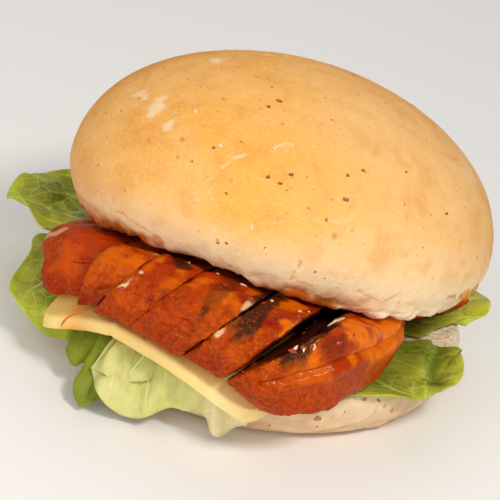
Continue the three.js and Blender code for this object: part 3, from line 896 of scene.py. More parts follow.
rng = np.random.default_rng(8)
named = np.array(LARGE_SPECKS)
spots = np.append(nearest_to(crown_placed, named[:, :3]), spots_over_crown(rng, SMALL_SPECKS, 38))
sizes = BRAN_SHRINK * np.append(named[:, 3], 0.16 + 0.5 * rng.uniform(0, 1, SMALL_SPECKS) ** 4)
shades = np.append(rng.uniform(0, 0.25, len(named)), rng.uniform(0.25, 1, SMALL_SPECKS))
scatter("crown_bran", crown_placed, crown_out, spots, sizes, 0.08, 9, bran_finish, shades)

spots = spots_over_crown(rng, FLOUR_SPECKS, 36)
sizes = 0.15 + 0.55 * rng.uniform(0, 1, FLOUR_SPECKS) ** 3
scatter("crown_flour", crown_placed, crown_out, spots, sizes, 0.05, 10, crumb_finish,
        rng.uniform(0.2, 0.8, FLOUR_SPECKS), stretch=2.5)

# %% [markdown]
# ## The cheese
#
# The slab is square and nearly 4 mm thick, lies turned on the heel, and droops at the two corners that
# stick out. Its edges are cut but soft. A cube bent by a lattice would do, but the height of its top face
# is needed again, because the chicken lies on it, so it is a function that every later piece can call.

# %% Shape of the cheese
FILLING_YAW = math.radians(-25)
CHEESE = dict(left=-30.0, right=36.0, front=-64.0, back=9.0, thick=3.9, top=23.4)
CHEESE_FLARE = 5.5
CHEESE_FLARE_BEND = (-42.0, -64.0)
CHEESE_NOTCH = -9.0
NOTCH_WIDTH, NOTCH_DEPTH, NOTCH_WANDER = 0.45, 0.7, 0.8
CHEESE_DROOP_SPAN = 27.0
CHEESE_DROOPS = (11.0, 8.0)
CHEESE_DROOP_POWERS = (1.2, 1.3)
CHEESE_REACH = (53.0, 71.0)
CHEESE_FRONT_BEND = (-25.0, -45.0)
CHEESE_EDGE = 1.2
CORNER_PULL, CORNER_POWER = 3.6, 5.5
CHEESE_LUMPS = [(0.10, 9, 3, 17)]
CHEESE_GRID = 170


def to_part(across, away, height):
    """From the filling's own directions, across and away, to the part's x and y: a turn about the upright."""
    c, s = math.cos(FILLING_YAW), math.sin(FILLING_YAW)
    return np.stack(np.broadcast_arrays(across * c - away * s, across * s + away * c, height), axis=-1)


def cheese_top(across, away):
    """The top face's height: level on the heel, and lower past its edge by a power of how far left or right
    of the notch the point lies."""
    overhang = smooth(*CHEESE_REACH, np.hypot(across, away)) * smooth(*CHEESE_FRONT_BEND, away)
    spans = (-CHEESE_DROOP_SPAN, CHEESE["right"] - CHEESE_NOTCH)
    shares = [np.clip((across - CHEESE_NOTCH) / span, 0, 1.3) for span in spans]
    droops = zip(CHEESE_DROOPS, shares, CHEESE_DROOP_POWERS)
    return CHEESE["top"] - overhang * sum(droop * share**power for droop, share, power in droops)


def cheese_sheet(drop):
    """One face of the slab as a grid, its points closer near the edges, where the face rounds over by a
    quarter circle. The corners pull in, the front left one flares, and the notch splits the front edge."""
    k = np.sin(np.linspace(-1, 1, CHEESE_GRID) * np.pi / 2)
    u, v = np.meshgrid(k, k)
    half_width = (CHEESE["right"] - CHEESE["left"]) / 2
    half_depth = (CHEESE["back"] - CHEESE["front"]) / 2
    pull = CORNER_PULL * np.abs(u * v) ** CORNER_POWER
    away = (CHEESE["front"] + CHEESE["back"]) / 2 + v * (half_depth - pull)
    flare = CHEESE_FLARE * smooth(*CHEESE_FLARE_BEND, away) * (1 - u) / 2
    across = (CHEESE["left"] + CHEESE["right"]) / 2 + u * (half_width - pull) - flare
    edge = np.minimum((1 - np.abs(u)) * half_width, (1 - np.abs(v)) * half_depth)
    inset = np.clip(1 - edge / CHEESE_EDGE, 0, 1)
    round_over = CHEESE_EDGE * (1 - np.sqrt(1 - inset**2))
    split = bump(across, CHEESE_NOTCH + NOTCH_WANDER * np.sin(drop), NOTCH_WIDTH) * smooth(-61, -64, away)
    points = to_part(across, away + NOTCH_DEPTH * split, cheese_top(across, away) - drop)
    points[..., 2] += round_over if drop else -round_over
    points[..., 2] += rough_layers(points, CHEESE_LUMPS)
    points += 0.06 * noise(points, 3, 18)[..., None] * smooth(1.2, 0, edge)[..., None]
    return points


cheese_all = as_list(cheese_sheet(0), cheese_sheet(CHEESE["thick"]))
print("the cheese is", np.ptp(cheese_all[:, 2]).round(1), "mm from its top to its lowest corner")

# %% Finish of the cheese
# The third colour is painted light, laid on the front face and towards the right side of the slab.
CHEESE_CREAM, CHEESE_LIGHT, CHEESE_LIT = (0.86, 0.56, 0.13), (0.90, 0.65, 0.18), (0.93, 0.75, 0.36)
# The second colour is a dark sauce stain under the meat, made darker still as painted shade in the open cut.
CHEESE_STAINED, CHEESE_SAUCE_AND_SHADE = (0.78, 0.31, 0.04), (0.13, 0.018, 0.003)
CHEESE_FLECK = (0.75, 0.36, 0.06)
CHEESE_SOAKING = (0.3, (1.0, 0.6, 0.2), 3)


def cheese_finish():
    """Pale cream, a little uneven and slightly see-through, waxy, with a few tiny orange specks and sauce
    stains; painted light on the front face and the right, and painted shade under the meat in the open cut.
    """
    material, tree, shader = new_finish("pale_cheese", CHEESE_SOAKING, Roughness=0.42, Specular_IOR_Level=0.3)
    patches = use_group(tree, CLOUDS, scale=70, detail=3, low=0.3, high=0.7)
    specks = use_group(tree, SPECKS, scale=160, size=0.12, share=0.06)
    layers = [(patches, CHEESE_LIGHT), ("rim", CHEESE_LIT), ("stained", CHEESE_STAINED),
              ("sauce_and_shade", CHEESE_SAUCE_AND_SHADE), (times(tree, specks, 0.6), CHEESE_FLECK)]
    tree.links.new(paint(tree, CHEESE_CREAM, layers), shader.inputs["Base Color"])
    add_bump(tree, shader, use_group(tree, CLOUDS, scale=700, detail=3, low=0.2, high=0.8), 0.04)
    return material


print("cheese soaks in light over", CHEESE_SOAKING[2], "mm")

# %% Channels of the cheese
# Sauce stains by their place in the part, and specks by across and away, each with its size
CHEESE_STAINS = [(-42.5, -48, 17.5, 4.0), (-45.5, -48.5, 14.5, 3.2), (-40, -52, 14.5, 3), (-45, -44, 20, 3)]
CHEESE_SPECKS = [(-0.2, -62.0, 0.9), (34.2, -60.9, 0.5), (-29.5, -49.0, 0.7), (-24.0, -58.0, 0.4),
                 (12.0, -62.5, 0.35)]

on_top = np.repeat([1.0, 0.0], CHEESE_GRID**2)
cheese_flat = cheese_all[:, :2] @ np.array(Matrix.Rotation(-FILLING_YAW, 2)).T
stained = 0.0
for *place, size in CHEESE_STAINS:
    stained = stained + 0.75 * bump(np.linalg.norm(cheese_all - place, axis=1), 0, size)
for *place, size in CHEESE_SPECKS:
    off = np.linalg.norm(cheese_flat - place, axis=1) / size
    stained = np.maximum(stained, 0.8 * (1 - smooth(0.6, 1.3, off)) * on_top)
# Under the meat, where the open cut shows the cheese: a dark sauce stain, darker still as painted shade.
under_meat = smooth(-57, -51, cheese_flat[:, 1]) * smooth(8, 14, cheese_flat[:, 0]) * on_top
lit_front_face = smooth(CHEESE["front"] + 3.5, CHEESE["front"] + 0.5, cheese_flat[:, 1])
cheese_channels = {
    "stained": np.clip(stained, 0, 1),
    "sauce_and_shade": 0.95 * under_meat,
    # Painted light: lighter on the front face and towards the right side of the slab.
    "rim": 0.4 * lit_front_face + 0.5 * smooth(8, 32, cheese_flat[:, 0]),
}
make_piece("cheese_slab", cheese_all, shell_faces(CHEESE_GRID, CHEESE_GRID), cheese_finish(),
           cheese_channels, "cheese_slice")

# %% [markdown]
# ## The chicken
#
# The fillet was grilled, sliced on the slant and pushed together again, so six slices still make one shape,
# with leaning cuts between them and one cut that stands open. Each slice is a rounded square section
# carried from front to back between its two cuts. Its floor is the cheese and its roof is the crown's cut
# face, so both are looked up at each point. As a cut leans, a point's place depends on its height and its
# height on its place, and a few rounds of putting one into the other settle both.

# %% Shape of the slices
CUT_HEIGHT = 32.0
# Each cut from left to right: where it stands at that height, and how far it leans for each mm higher
CUTS = [(-41, -0.1), (-19.5, 0.25), (-11.2, 0.6), (0.4, 0.68), (17.8, 0.75), (31.4, 0.8), (51, 0.02)]
OPEN_CUT = (33.3, 0.92)
CUT_GAP = 0.4
# How far the fillet's two ends stray from their cuts, from front to back
FIRST_END = [[5], [-1], [-2], [0], [3], [5]]
LAST_END = [[-13], [-2.5], [0], [0], [-1.5], [-7], [-11], [-6], [-3]]
# Where each slice begins in front and ends at the back, and how square the slices are at each cut
SLICES = [(-60, -8), (-64, -4), (-67, -2), (-67, 2), (-65.5, 6), (-65, 36)]
CUT_POWERS = [2.6, 16, 13, 12, 14, 8, 4.5]
OPEN_POWER = 8
SLICE_END = 11
NARROWEST = 3
TIP_SWELL = 0.42
TIP_HEIGHT = 0.45
SLICE_TOP = 42.5
RIM_CLEARANCE = 0.8
SIDE_BED = 16.9
CHEESE_GAP = 0.6
SLICE_AROUND = 220
STATIONS = dict(cap=16, front=60, body=140, back=8)
CAP_BULGE = 1.1
BACK_SWELL = (0.9, 0.45)
RAGGED_TIP = 1.2


def crown_face(x, y):
    """The height of the crown's cut face over a place: a tilted plane, and the rim's lifts near its edge."""
    up = crown_turn @ (0, 0, 1)
    dx, dy = x - CROWN_CENTRE[0], y - CROWN_CENTRE[1]
    reach = np.hypot(dx, dy / CROWN_DEPTH_RATIO) / (CROWN_RADIUS * CROWN_CUT_RATIO)
    lift = rim_lift(np.arctan2(dy / CROWN_DEPTH_RATIO, dx))
    share = np.where(lift > 0, LIFT_FILLED, 1)
    return CROWN_CENTRE[2] - up[0] / up[2] * dx - up[1] / up[2] * dy + share * lift * smooth(0.75, 1, reach)


def slice_roof(across, away):
    """Just under the crown's cut face, and never above the fillet's own top."""
    x, y, _ = np.moveaxis(to_part(across, away, 0 * across), -1, 0)
    return np.minimum(crown_face(x, y) - RIM_CLEARANCE, SLICE_TOP)


def chicken_bed(across, away):
    """What the chicken lies on: the cheese, and past its right side and its back the leaf on the heel."""
    past_right = smooth(CHEESE["right"] + 4, CHEESE["right"] + 10, across)
    past_back = smooth(CHEESE["back"] + 2, CHEESE["back"] + 8, away)
    on_cheese = cheese_top(np.minimum(across, CHEESE["right"]), away) + CHEESE_GAP
    return lerp(on_cheese, SIDE_BED, np.maximum(past_right, past_back))


def cut_at(cut, height):
    """Where a leaning knife cut stands at that height."""
    return cut[0] + cut[1] * (height - CUT_HEIGHT)


print("the fillet's roof at its middle is", slice_roof(np.array(0.0), np.array(-40.0)).round(1), "mm up")

# %% Sections of a slice


def slice_outline(left_power, right_power):
    """The section |a|^n + |b|^n = 1 as a ring of points, with one power for each of its halves."""
    t = np.arange(SLICE_AROUND) / SLICE_AROUND * 4
    along = (t % 1) * 2 - 1
    side = np.floor(t).astype(int)
    one = np.ones_like(along)
    a = np.choose(side, [along, one, -along, -one])
    b = np.choose(side, [-one, along, one, -along])
    power = np.where(a < 0, left_power, right_power)
    norm = (np.abs(a) ** power + np.abs(b) ** power) ** (1 / power)
    return a / norm, b / norm


def slice_stations(front, back):
    """Where each section stands from front to back, how swollen it is, and how far it is squeezed sideways:
    a low round cap, a tip that opens by a quarter circle, the body and a rounded back."""
    c = np.linspace(0.08, 1, STATIONS["cap"])[:-1] * np.pi / 2
    k = np.linspace(0, 1, STATIONS["front"]) * np.pi / 2
    body = np.linspace(front + SLICE_END, back - 1, STATIONS["body"])[1:]
    rear = np.linspace(0, 1, STATIONS["back"])[1:]
    tip = front + SLICE_END * (1 - np.cos(k))
    away = np.concatenate([front - CAP_BULGE * np.cos(c), tip, body, back - 1 + rear])
    body_swell = np.interp(body, [back - 3, back - 1], [1, BACK_SWELL[0]])
    swell = np.concatenate([TIP_SWELL * np.sin(c) ** 0.7, lerp(TIP_SWELL, 1, np.sin(k)), body_swell,
                            lerp(*BACK_SWELL, rear**2)])
    squeeze = np.concatenate([np.sin(c) ** 0.5, np.ones(len(away) - len(c))])
    return away[:, None], swell[:, None], squeeze[:, None]


def slice_grid(index):
    """Sections of one slice, each stretched from cut to cut and from floor to roof, and swollen from the
    height of the tip. The first and last slices stray from their cuts along the fillet's own ends."""
    front, back = SLICES[index]
    last = len(SLICES) - 1
    a, b = slice_outline(OPEN_POWER if index == last else CUT_POWERS[index], CUT_POWERS[index + 1])
    away, swell, squeeze = slice_stations(front, back)
    share = np.clip((away - front) / (back - front), 0, 1)
    left_cut = OPEN_CUT if index == last else CUTS[index]
    stray_left = through_points(FIRST_END, share)[..., 0] if index == 0 else 0
    stray_right = through_points(LAST_END, share)[..., 0] if index == last else 0

    def place(height):
        """Where the points stand across the fillet, between the two cuts at that height."""
        left = cut_at(left_cut, height) + CUT_GAP / 2 + stray_left
        right = cut_at(CUTS[index + 1], height) - CUT_GAP / 2 + stray_right
        return lerp(left, np.maximum(right, left + NARROWEST), 0.5 + 0.5 * a * squeeze)

    roof = floor = CUT_HEIGHT + 0 * away * a
    for _ in range(4):
        roof = slice_roof(place(roof), away)
        floor = chicken_bed(place(floor), away)
    centre = lerp(floor, roof, TIP_HEIGHT)
    height = centre + (lerp(floor, roof, 0.5 + 0.5 * b) - centre) * swell
    across, away, a, b = np.broadcast_arrays(place(height), away, a, b)
    ragged = roughness(np.stack([across, 0 * away, height], axis=-1), 5, 3, 57)
    return across, away + RAGGED_TIP * ragged * smooth(front + 7, front, away), height, a, b


print("slice 1 has", slice_grid(0)[0].shape, "points")

# %% [markdown]
# Glazed meat is anything but smooth. Its top is lumpy, its outer skin is grainy and shows the ends of its
# fibres, and a fold runs round the side of the last slice where a thin flap of meat lies over a thicker
# one. These are moves along the surface's own normal, so they break up the slice but keep its outline.

# %% Relief of the slices
MEAT_LUMPS = [(0.5, 11, 2, 40), (0.22, 4.5, 2, 44)]
FIBRE_HEIGHT = 0.10
CUT_STEP = 0.35
# The fold's height at each place away, and its lip and groove: height, how far above the line, and width
FOLD_LINE = [(-66, 29.5), (-62, 30.0), (-58.6, 31.4), (-52, 34.5), (-44, 34.8), (-35, 33.5), (-22, 30.7),
             (0, 27)]
FOLD_LIP, FOLD_GROOVE = (1.1, -2.6, 2.0), (1.5, 0.0, 0.75)
# The flap over the first slice, as a line of away and height, with its height and width
FIRST_FLAP = [(-55, 31), (-46, 38), (-40, 41)]
FLAP_HEIGHT, FLAP_WIDTH = 0.9, 1.6
OPEN_CUT_YAWN = 1.3


def slice_relief(index, across, away, height, a, b):
    """Lumps that run on from slice to slice, grain on the outer skin, and fibres. A slice stands a little
    proud at its left cut and sinks at its right one. The first has its flap, the last its folded lip."""
    here = np.stack([across, away, height], axis=-1)
    outer = np.maximum(smooth(0.3, -0.5, b), smooth(-54, -63, away))
    rough_skin = outer * lerp(0.35, 1.0, min(index / 2, 1))
    grain = (0.04 + 0.17 * rough_skin) * roughness(here, 1.7, 3, 50)
    grain = grain + 0.14 * rough_skin * noise(here, 0.8, 55)
    relief = rough_layers(here, MEAT_LUMPS) + grain + FIBRE_HEIGHT * noise(here * (1, 0.35, 1), 1.5, 60)
    if index == 0:
        flap = near_path(here[..., 1:], FIRST_FLAP)
        relief = relief + FLAP_HEIGHT * bump(flap, 0, FLAP_WIDTH) * smooth(0, -0.6, a)
    elif index < len(SLICES) - 1:
        relief = relief - CUT_STEP * a * smooth(0.3, 0.9, b)
    else:
        off = height - np.interp(away, *np.transpose(FOLD_LINE)) + 0.5 * noise(here, 6, 61)
        lip, groove = (high * bump(off, above, wide) for high, above, wide in (FOLD_LIP, FOLD_GROOVE))
        relief = relief + smooth(30, 36, across + 0.25 * (away + 65)) * (lip - groove)
    return relief


def open_cut_shift(index, height):
    """The open cut yawns: its two walls stand a little further apart towards the top."""
    yawn = OPEN_CUT_YAWN * smooth(25, 37, height)
    return {4: -0.7 * yawn, 5: yawn}.get(index, 0 * yawn)


print("the fold runs from", FOLD_LINE[0], "to", FOLD_LINE[-1])

# %% Finish of the glazed meat
MEAT_DARK, MEAT_RED = (0.24, 0.008, 0.0002), (0.44, 0.035, 0.0004)
GLAZE_BRIGHT, GLAZE_SKIN = (0.86, 0.18, 0.001), (0.46, 0.050, 0.0006)
SKIN_DARK, SKIN_GRAIN = (0.13, 0.007, 0.001), (0.60, 0.14, 0.004)
# The first colour is painted shade inside the cuts; the last is pale meat, in one line partly a painted
# reflection.
CUT_SHADE, CHAR, FLESH_AND_SHEEN = (0.05, 0.008, 0.003), (0.035, 0.009, 0.004), (0.86, 0.58, 0.30)
MEAT_SOAKING = (0.05, (1.0, 0.15, 0.03), 2)
MEAT_BUMP = 0.14


def glaze_finish():
    """Deep red meat under an orange glaze: the glaze is thin and bright on top, dark and grainy on the
    outer skin, black-brown on the bars, and missing on the pale cut edges, one of which is partly a painted
    reflection. Deep in the cuts the colour is painted shade."""
    wet = dict(Roughness=0.42, Specular_IOR_Level=0.04, Coat_Weight=0.10, Coat_Roughness=0.06)
    material, tree, shader = new_finish("glazed_chicken", MEAT_SOAKING, **wet)
    patches = use_group(tree, CLOUDS, scale=85, detail=5, low=0.35, high=0.64, warp=0.4)
    grain = use_group(tree, CLOUDS, scale=1700, detail=2, low=0.50, high=0.72)
    coarse = use_group(tree, CLOUDS, scale=620, detail=5, low=0.42, high=0.68)
    fine = use_group(tree, CLOUDS, scale=1100, detail=4, low=0.2, high=0.8)
    side = channel(tree, "side")
    skin = plus(tree, 0.20, times(tree, side, 0.45))
    char = times(tree, channel(tree, "char"), math_of(tree, "SUBTRACT", 1.0, times(tree, grain, 0.35)))
    layers = [(patches, MEAT_RED), ("bright", GLAZE_BRIGHT), (side, GLAZE_SKIN),
              (times(tree, coarse, skin), SKIN_DARK), (times(tree, grain, skin), SKIN_GRAIN),
              ("deep", CUT_SHADE), (char, CHAR), ("flesh_and_sheen", FLESH_AND_SHEEN)]
    tree.links.new(paint(tree, MEAT_DARK, layers), shader.inputs["Base Color"])
    add_bump(tree, shader, times(tree, fine, plus(tree, 0.5, side)), MEAT_BUMP)
    return material


chicken_finish = glaze_finish()
print("chicken finish:", chicken_finish.name)

# %% Grill marks, pale cuts and the other channels of a slice
# Each bar of the grill: from, to, half its width and how dark it is
GRILL_MARKS = [
    ((-3.8, -48.5), (2.2, -54.0), 1.7, 0.95),
    ((15.6, -61.0), (14.4, -50.0), 2.3, 0.55),
    ((16.0, -65.6), (15.9, -64.6), 1.0, 0.8),
    ((27.0, -62.8), (24.4, -45.0), 3.0, 0.95),
    ((41.1, -61.0), (39.7, -44.0), 3.3, 0.97),
    ((48.0, -55.0), (48.6, -51.0), 1.6, 0.5),
]
# Each pale line along a cut: half its width, how pale it is and its places in the part
FLESH_AND_SHEEN_LINES = [
    (0.5, 0.35, [(-27.5, -44, 41.5), (-29, -45.6, 41.1), (-30.8, -55.5, 40.5)]),
    (0.65, 0.9, [(-30.8, -55.5, 40.5), (-32.4, -56.9, 39), (-34.1, -57.4, 37.4), (-35.8, -57.2, 35.4),
                 (-37.2, -56.6, 33.4)]),
    (0.4, 0.6, [(-17.2, -53, 41.3), (-18.1, -56.4, 41), (-19.6, -60, 40.5), (-21.1, -62.1, 39.2),
                (-22.5, -62.8, 37.7)]),
    # The next line, at the top of the cut between the fourth and fifth slices, is partly pale meat and partly
    # a painted reflection of the lamp.
    (0.9, 0.75, [(-2.2, -59.1, 41.9), (-3.6, -63.6, 41.1), (-5.2, -65.8, 39.3), (-6.8, -67.4, 37.4),
                 (-8.5, -68.3, 35.4)]),
    (1.2, 0.45, [(-60, -28, 31.5), (-57.5, -32, 32.8), (-55.6, -34.1, 35.2), (-54.1, -32.6, 36.1)]),
]
# For each slice how bright its top and how grainy its side is, and for each cut how strong the painted shade
# inside it is
SLICE_BRIGHT = [0.22, 0.55, 0.65, 0.65, 0.85, 1.0]
SLICE_GRAIN = [0.3, 0.45, 0.55, 0.6, 0.6, 0.65]
CUT_SHADE_STRENGTH = [0, 0.05, 0.25, 0.3, 0.45, 1.0, 0]


def grill_mask(here):
    """How dark the grill's bars left the meat: soft strips with ragged, grainy edges."""
    ragged = 0.9 * roughness(here, 4.0, 3, 70) + 0.35 * noise(here, 0.9, 71)
    mask = 0.0
    for start, end, wide, dark in GRILL_MARKS:
        off = near_path(here[..., :2], [start, end]) - wide + ragged
        mask = np.maximum(mask, dark * (1 - smooth(-0.7, 1.1, off)))
    return mask


def slice_channels(index, here, points, a, b):
    """Where the slice is grainy, charred, bright or pale, and how strong the painted shade deep in its cuts
    is, from its points without and with relief.
    """
    away = here[..., 1]
    uneven = 0.3 * noise(here, 2.4, 90)
    mottled = roughness(here, 9, 2, 80) + 0.7 * roughness(here, 3.5, 4, 81) + 0.3 * (index == 5)
    bright = smooth(-0.5, 0.5, mottled) * smooth(-0.7, 0.7, b) * smooth(-74, -62, away)
    # How strong the painted shade is in the cut beside each point.
    depth = np.where(a < 0, CUT_SHADE_STRENGTH[index], CUT_SHADE_STRENGTH[index + 1])
    cut_edges = [pale * thin_line(points, line, wide, uneven) for wide, pale, line in FLESH_AND_SHEEN_LINES]
    return {
        "side": SLICE_GRAIN[index] * np.maximum(smooth(0.5, -0.3, b), smooth(-60, -65, away)),
        "char": grill_mask(here) * smooth(0.2, 0.7, b),
        "bright": SLICE_BRIGHT[index] * bright,
        "flesh_and_sheen": np.maximum.reduce(cut_edges),
        # Painted shade deep in the cuts: on the cut walls, low down, and not at the front tips.
        "deep": depth * smooth(0.90, 0.985, np.abs(a)) * smooth(0.93, 0.6, b) * smooth(-66, -58, away),
    }


print("grill marks:", len(GRILL_MARKS), "and pale lines:", len(FLESH_AND_SHEEN_LINES))

# %% The six slices
skin_points, skin_normals = [], []
for index in range(len(SLICES)):
    across, away, height, a, b = slice_grid(index)
    opened = open_cut_shift(index, height) * smooth(0.3, 1.0, a if index == 4 else -a)
    points = to_part(across + opened, away, height)
    relief = slice_relief(index, across, away, height, a, b)
    points = points - grid_normals(points, True) * relief[..., None]
    skin_points.append(points)
    skin_normals.append(-grid_normals(points, True))
    channels = slice_channels(index, np.stack([across, away, height], axis=-1), points, a, b)
    channels = {key: np.append(value.ravel(), value[[0, -1]].mean(axis=1)) for key, value in channels.items()}
    ends = points[[0, -1]].mean(axis=1)
    make_piece(f"chicken_piece_{index + 1}", as_list(points, ends), loft_faces(*points.shape[:2]),
               chicken_finish, channels, f"chicken_slice_{index + 1}")

# %% [markdown]
# Where the glaze is thick it stands in drops and ridges, and each one draws a small white glint of the
# lamp. Crumbs of bread and meat lie near the rim, and a thread of sauce has run over the cheese. A few pale
# flakes among them are painted highlights, laid where white glints of the lamp lie.

# %% Drops of glaze, crumb flakes and painted glints, and torn bits of crust
# Each one by its place in the part and its radius
DROPS = [(10.3, -74, 39.2, 1.1), (13.1, -73.9, 40.2, 0.9), (15.3, -71.3, 39.6, 0.8), (16.5, -70.5, 40.6, 0.9),
         (21.4, -67.3, 40.4, 0.8), (-37.7, -53, 31.8, 1.2), (-34.5, -57.8, 35.7, 1.0),
         (5.4, -70.7, 40.7, 0.9), (10.4, -61.5, 42.1, 1.0), (-54.1, -38.2, 35.6, 0.8),
         (-53.5, -25, 34, 0.9), (-2.2, -59.1, 41.9, 1.2)]
# The first flake is partly a bit of meat and partly a painted glint; the last three are pale flakes painted
# where white glints lie.
CRUMBS_AND_GLINTS = [(20.5, -50.3, 38.1, 1.7), (18.2, -51.5, 38.6, 1.0), (10.4, -56.1, 41, 0.6), (13, -54, 40.5, 0.5),
          (-5, -50, 40.7, 1.0), (-12, -48.5, 40, 0.4), (-20, -46, 39.5, 0.35), (3, -55, 41, 0.45),
          (10.6, -74, 39.3, 1.0), (13, -73.6, 40.1, 0.6), (15.4, -71.2, 39.8, 0.9)]
RIM_BITS = [(52.5, -23.8, 40, 1.9), (55.4, -17.2, 38.9, 1.6), (53.6, -21, 38.6, 1.4), (49.5, -29, 40.5, 0.8)]
RANDOM_DROPS = 60
DROP_RED, SAUCE_RED = (0.36, 0.035, 0.001, 1), (0.66, 0.14, 0.004, 1)

skin_points, skin_normals = as_list(*skin_points), as_list(*skin_normals)
drop_finish = new_finish("glaze_drop", Base_Color=DROP_RED, Roughness=0.4, Specular_IOR_Level=0.05,
                         Coat_Weight=0.8, Coat_Roughness=0.05)[0]

rng = np.random.default_rng(12)
facing_up = np.flatnonzero((skin_normals[:, 2] > 0.3) & (skin_points[:, 1] < -38))
drops, crumbs_and_glints, bits = np.array(DROPS), np.array(CRUMBS_AND_GLINTS), np.array(RIM_BITS)
spots = np.append(nearest_to(skin_points, drops[:, :3]), rng.choice(facing_up, RANDOM_DROPS))
sizes = np.append(drops[:, 3], rng.uniform(0.2, 0.6, RANDOM_DROPS))
scatter("glaze_drops", skin_points, skin_normals, spots, sizes, 0.5 * sizes, 13, drop_finish,
        stretch=2.5)
scatter("crumbs_and_glints", skin_points, skin_normals, nearest_to(skin_points, crumbs_and_glints[:, :3]), crumbs_and_glints[:, 3], 0.35, 14,
        crumb_finish, rng.uniform(0.4, 1, len(crumbs_and_glints)), stretch=3)
scatter("rim_bits", crown_placed, crown_out, nearest_to(crown_placed, bits[:, :3]), bits[:, 3], 0.7, 15,
        bran_finish, np.ones(len(bits)), stretch=2)

# %% A thread of sauce
SAUCE_THREAD = [(-44.2, -46.8, 21.2), (-45.6, -47.0, 20.2), (-47.2, -47.6, 18.9), (-48.4, -47.9, 17.2),
                (-48.9, -47.6, 15.4)]
THREAD_STEPS, THREAD_AROUND, THREAD_EASE = 60, 16, 13
THREAD_RADIUS = 0.55


def sauce_thread():
    """A flattened tube along the line, laid on the nearest points of the cheese and eased by a running
    mean; its radius is half a sine from end to end and a little uneven."""
    path = through_points(SAUCE_THREAD, np.linspace(0, 1, THREAD_STEPS))
    path = cheese_all[nearest_to(cheese_all, path)]
    padded = np.pad(path, ((THREAD_EASE // 2,) * 2, (0, 0)), mode="edge")
    mean = np.full(THREAD_EASE, 1 / THREAD_EASE)
    path = np.stack([np.convolve(line, mean, "valid") for line in padded.T], axis=-1)
    taper = np.sin(np.linspace(0.15, np.pi - 0.15, THREAD_STEPS))
    radius = THREAD_RADIUS * taper * (1 + 0.3 * noise(path, 1.5, 27))
    angle = angles_round(THREAD_AROUND)
    ring = np.stack([np.cos(angle), 0.4 * np.cos(angle), 0.7 * np.sin(angle)], axis=-1)
    return as_list(path[:, None] + radius[:, None, None] * ring, path[[0, -1]])


sauce_finish = new_finish("sauce", Base_Color=SAUCE_RED, Roughness=0.3, Specular_IOR_Level=0.3)[0]
make_piece("sauce_thread", sauce_thread(), loft_faces(THREAD_STEPS, THREAD_AROUND), sauce_finish)

# %% [markdown]
# ## The lettuce
#
# A lettuce leaf is a sheet under a millimetre thick that grows faster at its edge than in its middle, so
# the edge ruffles and the part between the veins blisters. Here each leaf is ruled from a hidden line
# between the layers to its own rim, bends over the heel's edge, and then gets ruffles, blisters and veins
# along its normal. Cloth could be draped instead, but a leaf is stiff and holds its folds.

# %% The leaves' inner lines and rims
LEAF_THICK = 0.9
LEAF_LEVEL = 15.5
LEAF_BEND_RADIUS = HEEL_RADIUS + 1.6
LEAF_GRID = (70, 260)


def level(height, *places):
    """Places at one height."""
    return [(x, y, height) for x, y in places]


LEAVES = {
    "leaf_left_upper": dict(
        inner=level(18, (-38, 26), (-36, 18), (-36, 8), (-37, 0)),
        rim=[(-56, 34, 20), (-65, 30, 22), (-74.5, 21, 21), (-75, 10, 20), (-67, 3, 20), (-58, -2, 20)],
        ruffle=1.4, waves=3, phase=0.4, veins=3, vein_gap=12, side_veins=4, cushion=1.7),
    "leaf_left_lower": dict(
        inner=level(LEAF_LEVEL, (-36, 8), (-32, 0), (-30, -10), (-28, -18), (-22, -24)),
        rim=[(-58, 6, 15.5), (-64.5, -1, 15.5), (-64, -14, 16.5), (-66, -28, 15), (-62, -33, 10.5),
             (-54, -37, 6.5), (-47, -41, 8), (-44, -50.5, 7), (-40, -50, 8), (-41.5, -59, 4), (-38, -62.5, 3),
             (-32, -56, 4.5)],
        ruffle=0.9, waves=5, phase=1.9, veins=5, vein_gap=12, side_veins=5, cushion=1.5),
    "leaf_pale": dict(
        inner=level(18.3, (-6, -42), (-16, -40), (-24, -37)) + [(-29, -36, 17.7)]
        + level(17, (-26, -34), (-18, -36), (-8, -39), (2, -41)),
        rim=[(-16, -55, 15), (-23, -58, 12), (-32, -60, 11), (-38.5, -55, 10), (-34, -63, 6.5), (-24, -63, 3),
             (-16, -60.5, 7), (-8, -60, 6.5), (-3, -61, 2.5), (4, -60, 7)],
        ruffle=0.3, waves=3, phase=0, veins=8, vein_gap=9, side_veins=1, cushion=1.6, pleats=1.5),
    "leaf_right_lower": dict(
        inner=level(LEAF_LEVEL, (8, -42), (16, -38), (22, -32), (28, -24), (32, -16)),
        rim=[(18, -55, 16), (28, -49, 16), (38, -46, 16), (47, -41, 16), (55, -35, 17.5), (58, -25, 18.5),
             (56, -13, 17), (46, -12, 16)],
        ruffle=0.9, waves=4, phase=0.6, veins=4, vein_gap=10, side_veins=5, cushion=0.7,
        folds=[([(48.5, -34), (47.3, -24), (49, -13)], 1.0)]),
    "leaf_right_upper": dict(
        inner=level(LEAF_LEVEL, (34, -8), (34, 2), (32, 12), (30, 22)),
        rim=[(46, -9, 16), (50, -3, 16.5), (56.5, 3, 18), (63, 8, 20), (64.5, 12, 20.5), (60, 24, 18),
             (50, 32, 16.5)],
        ruffle=0.9, waves=3, phase=2.2, veins=2, vein_gap=14, side_veins=4, cushion=0.7),
}
print("leaves:", ", ".join(LEAVES))

# %% Shape of a leaf


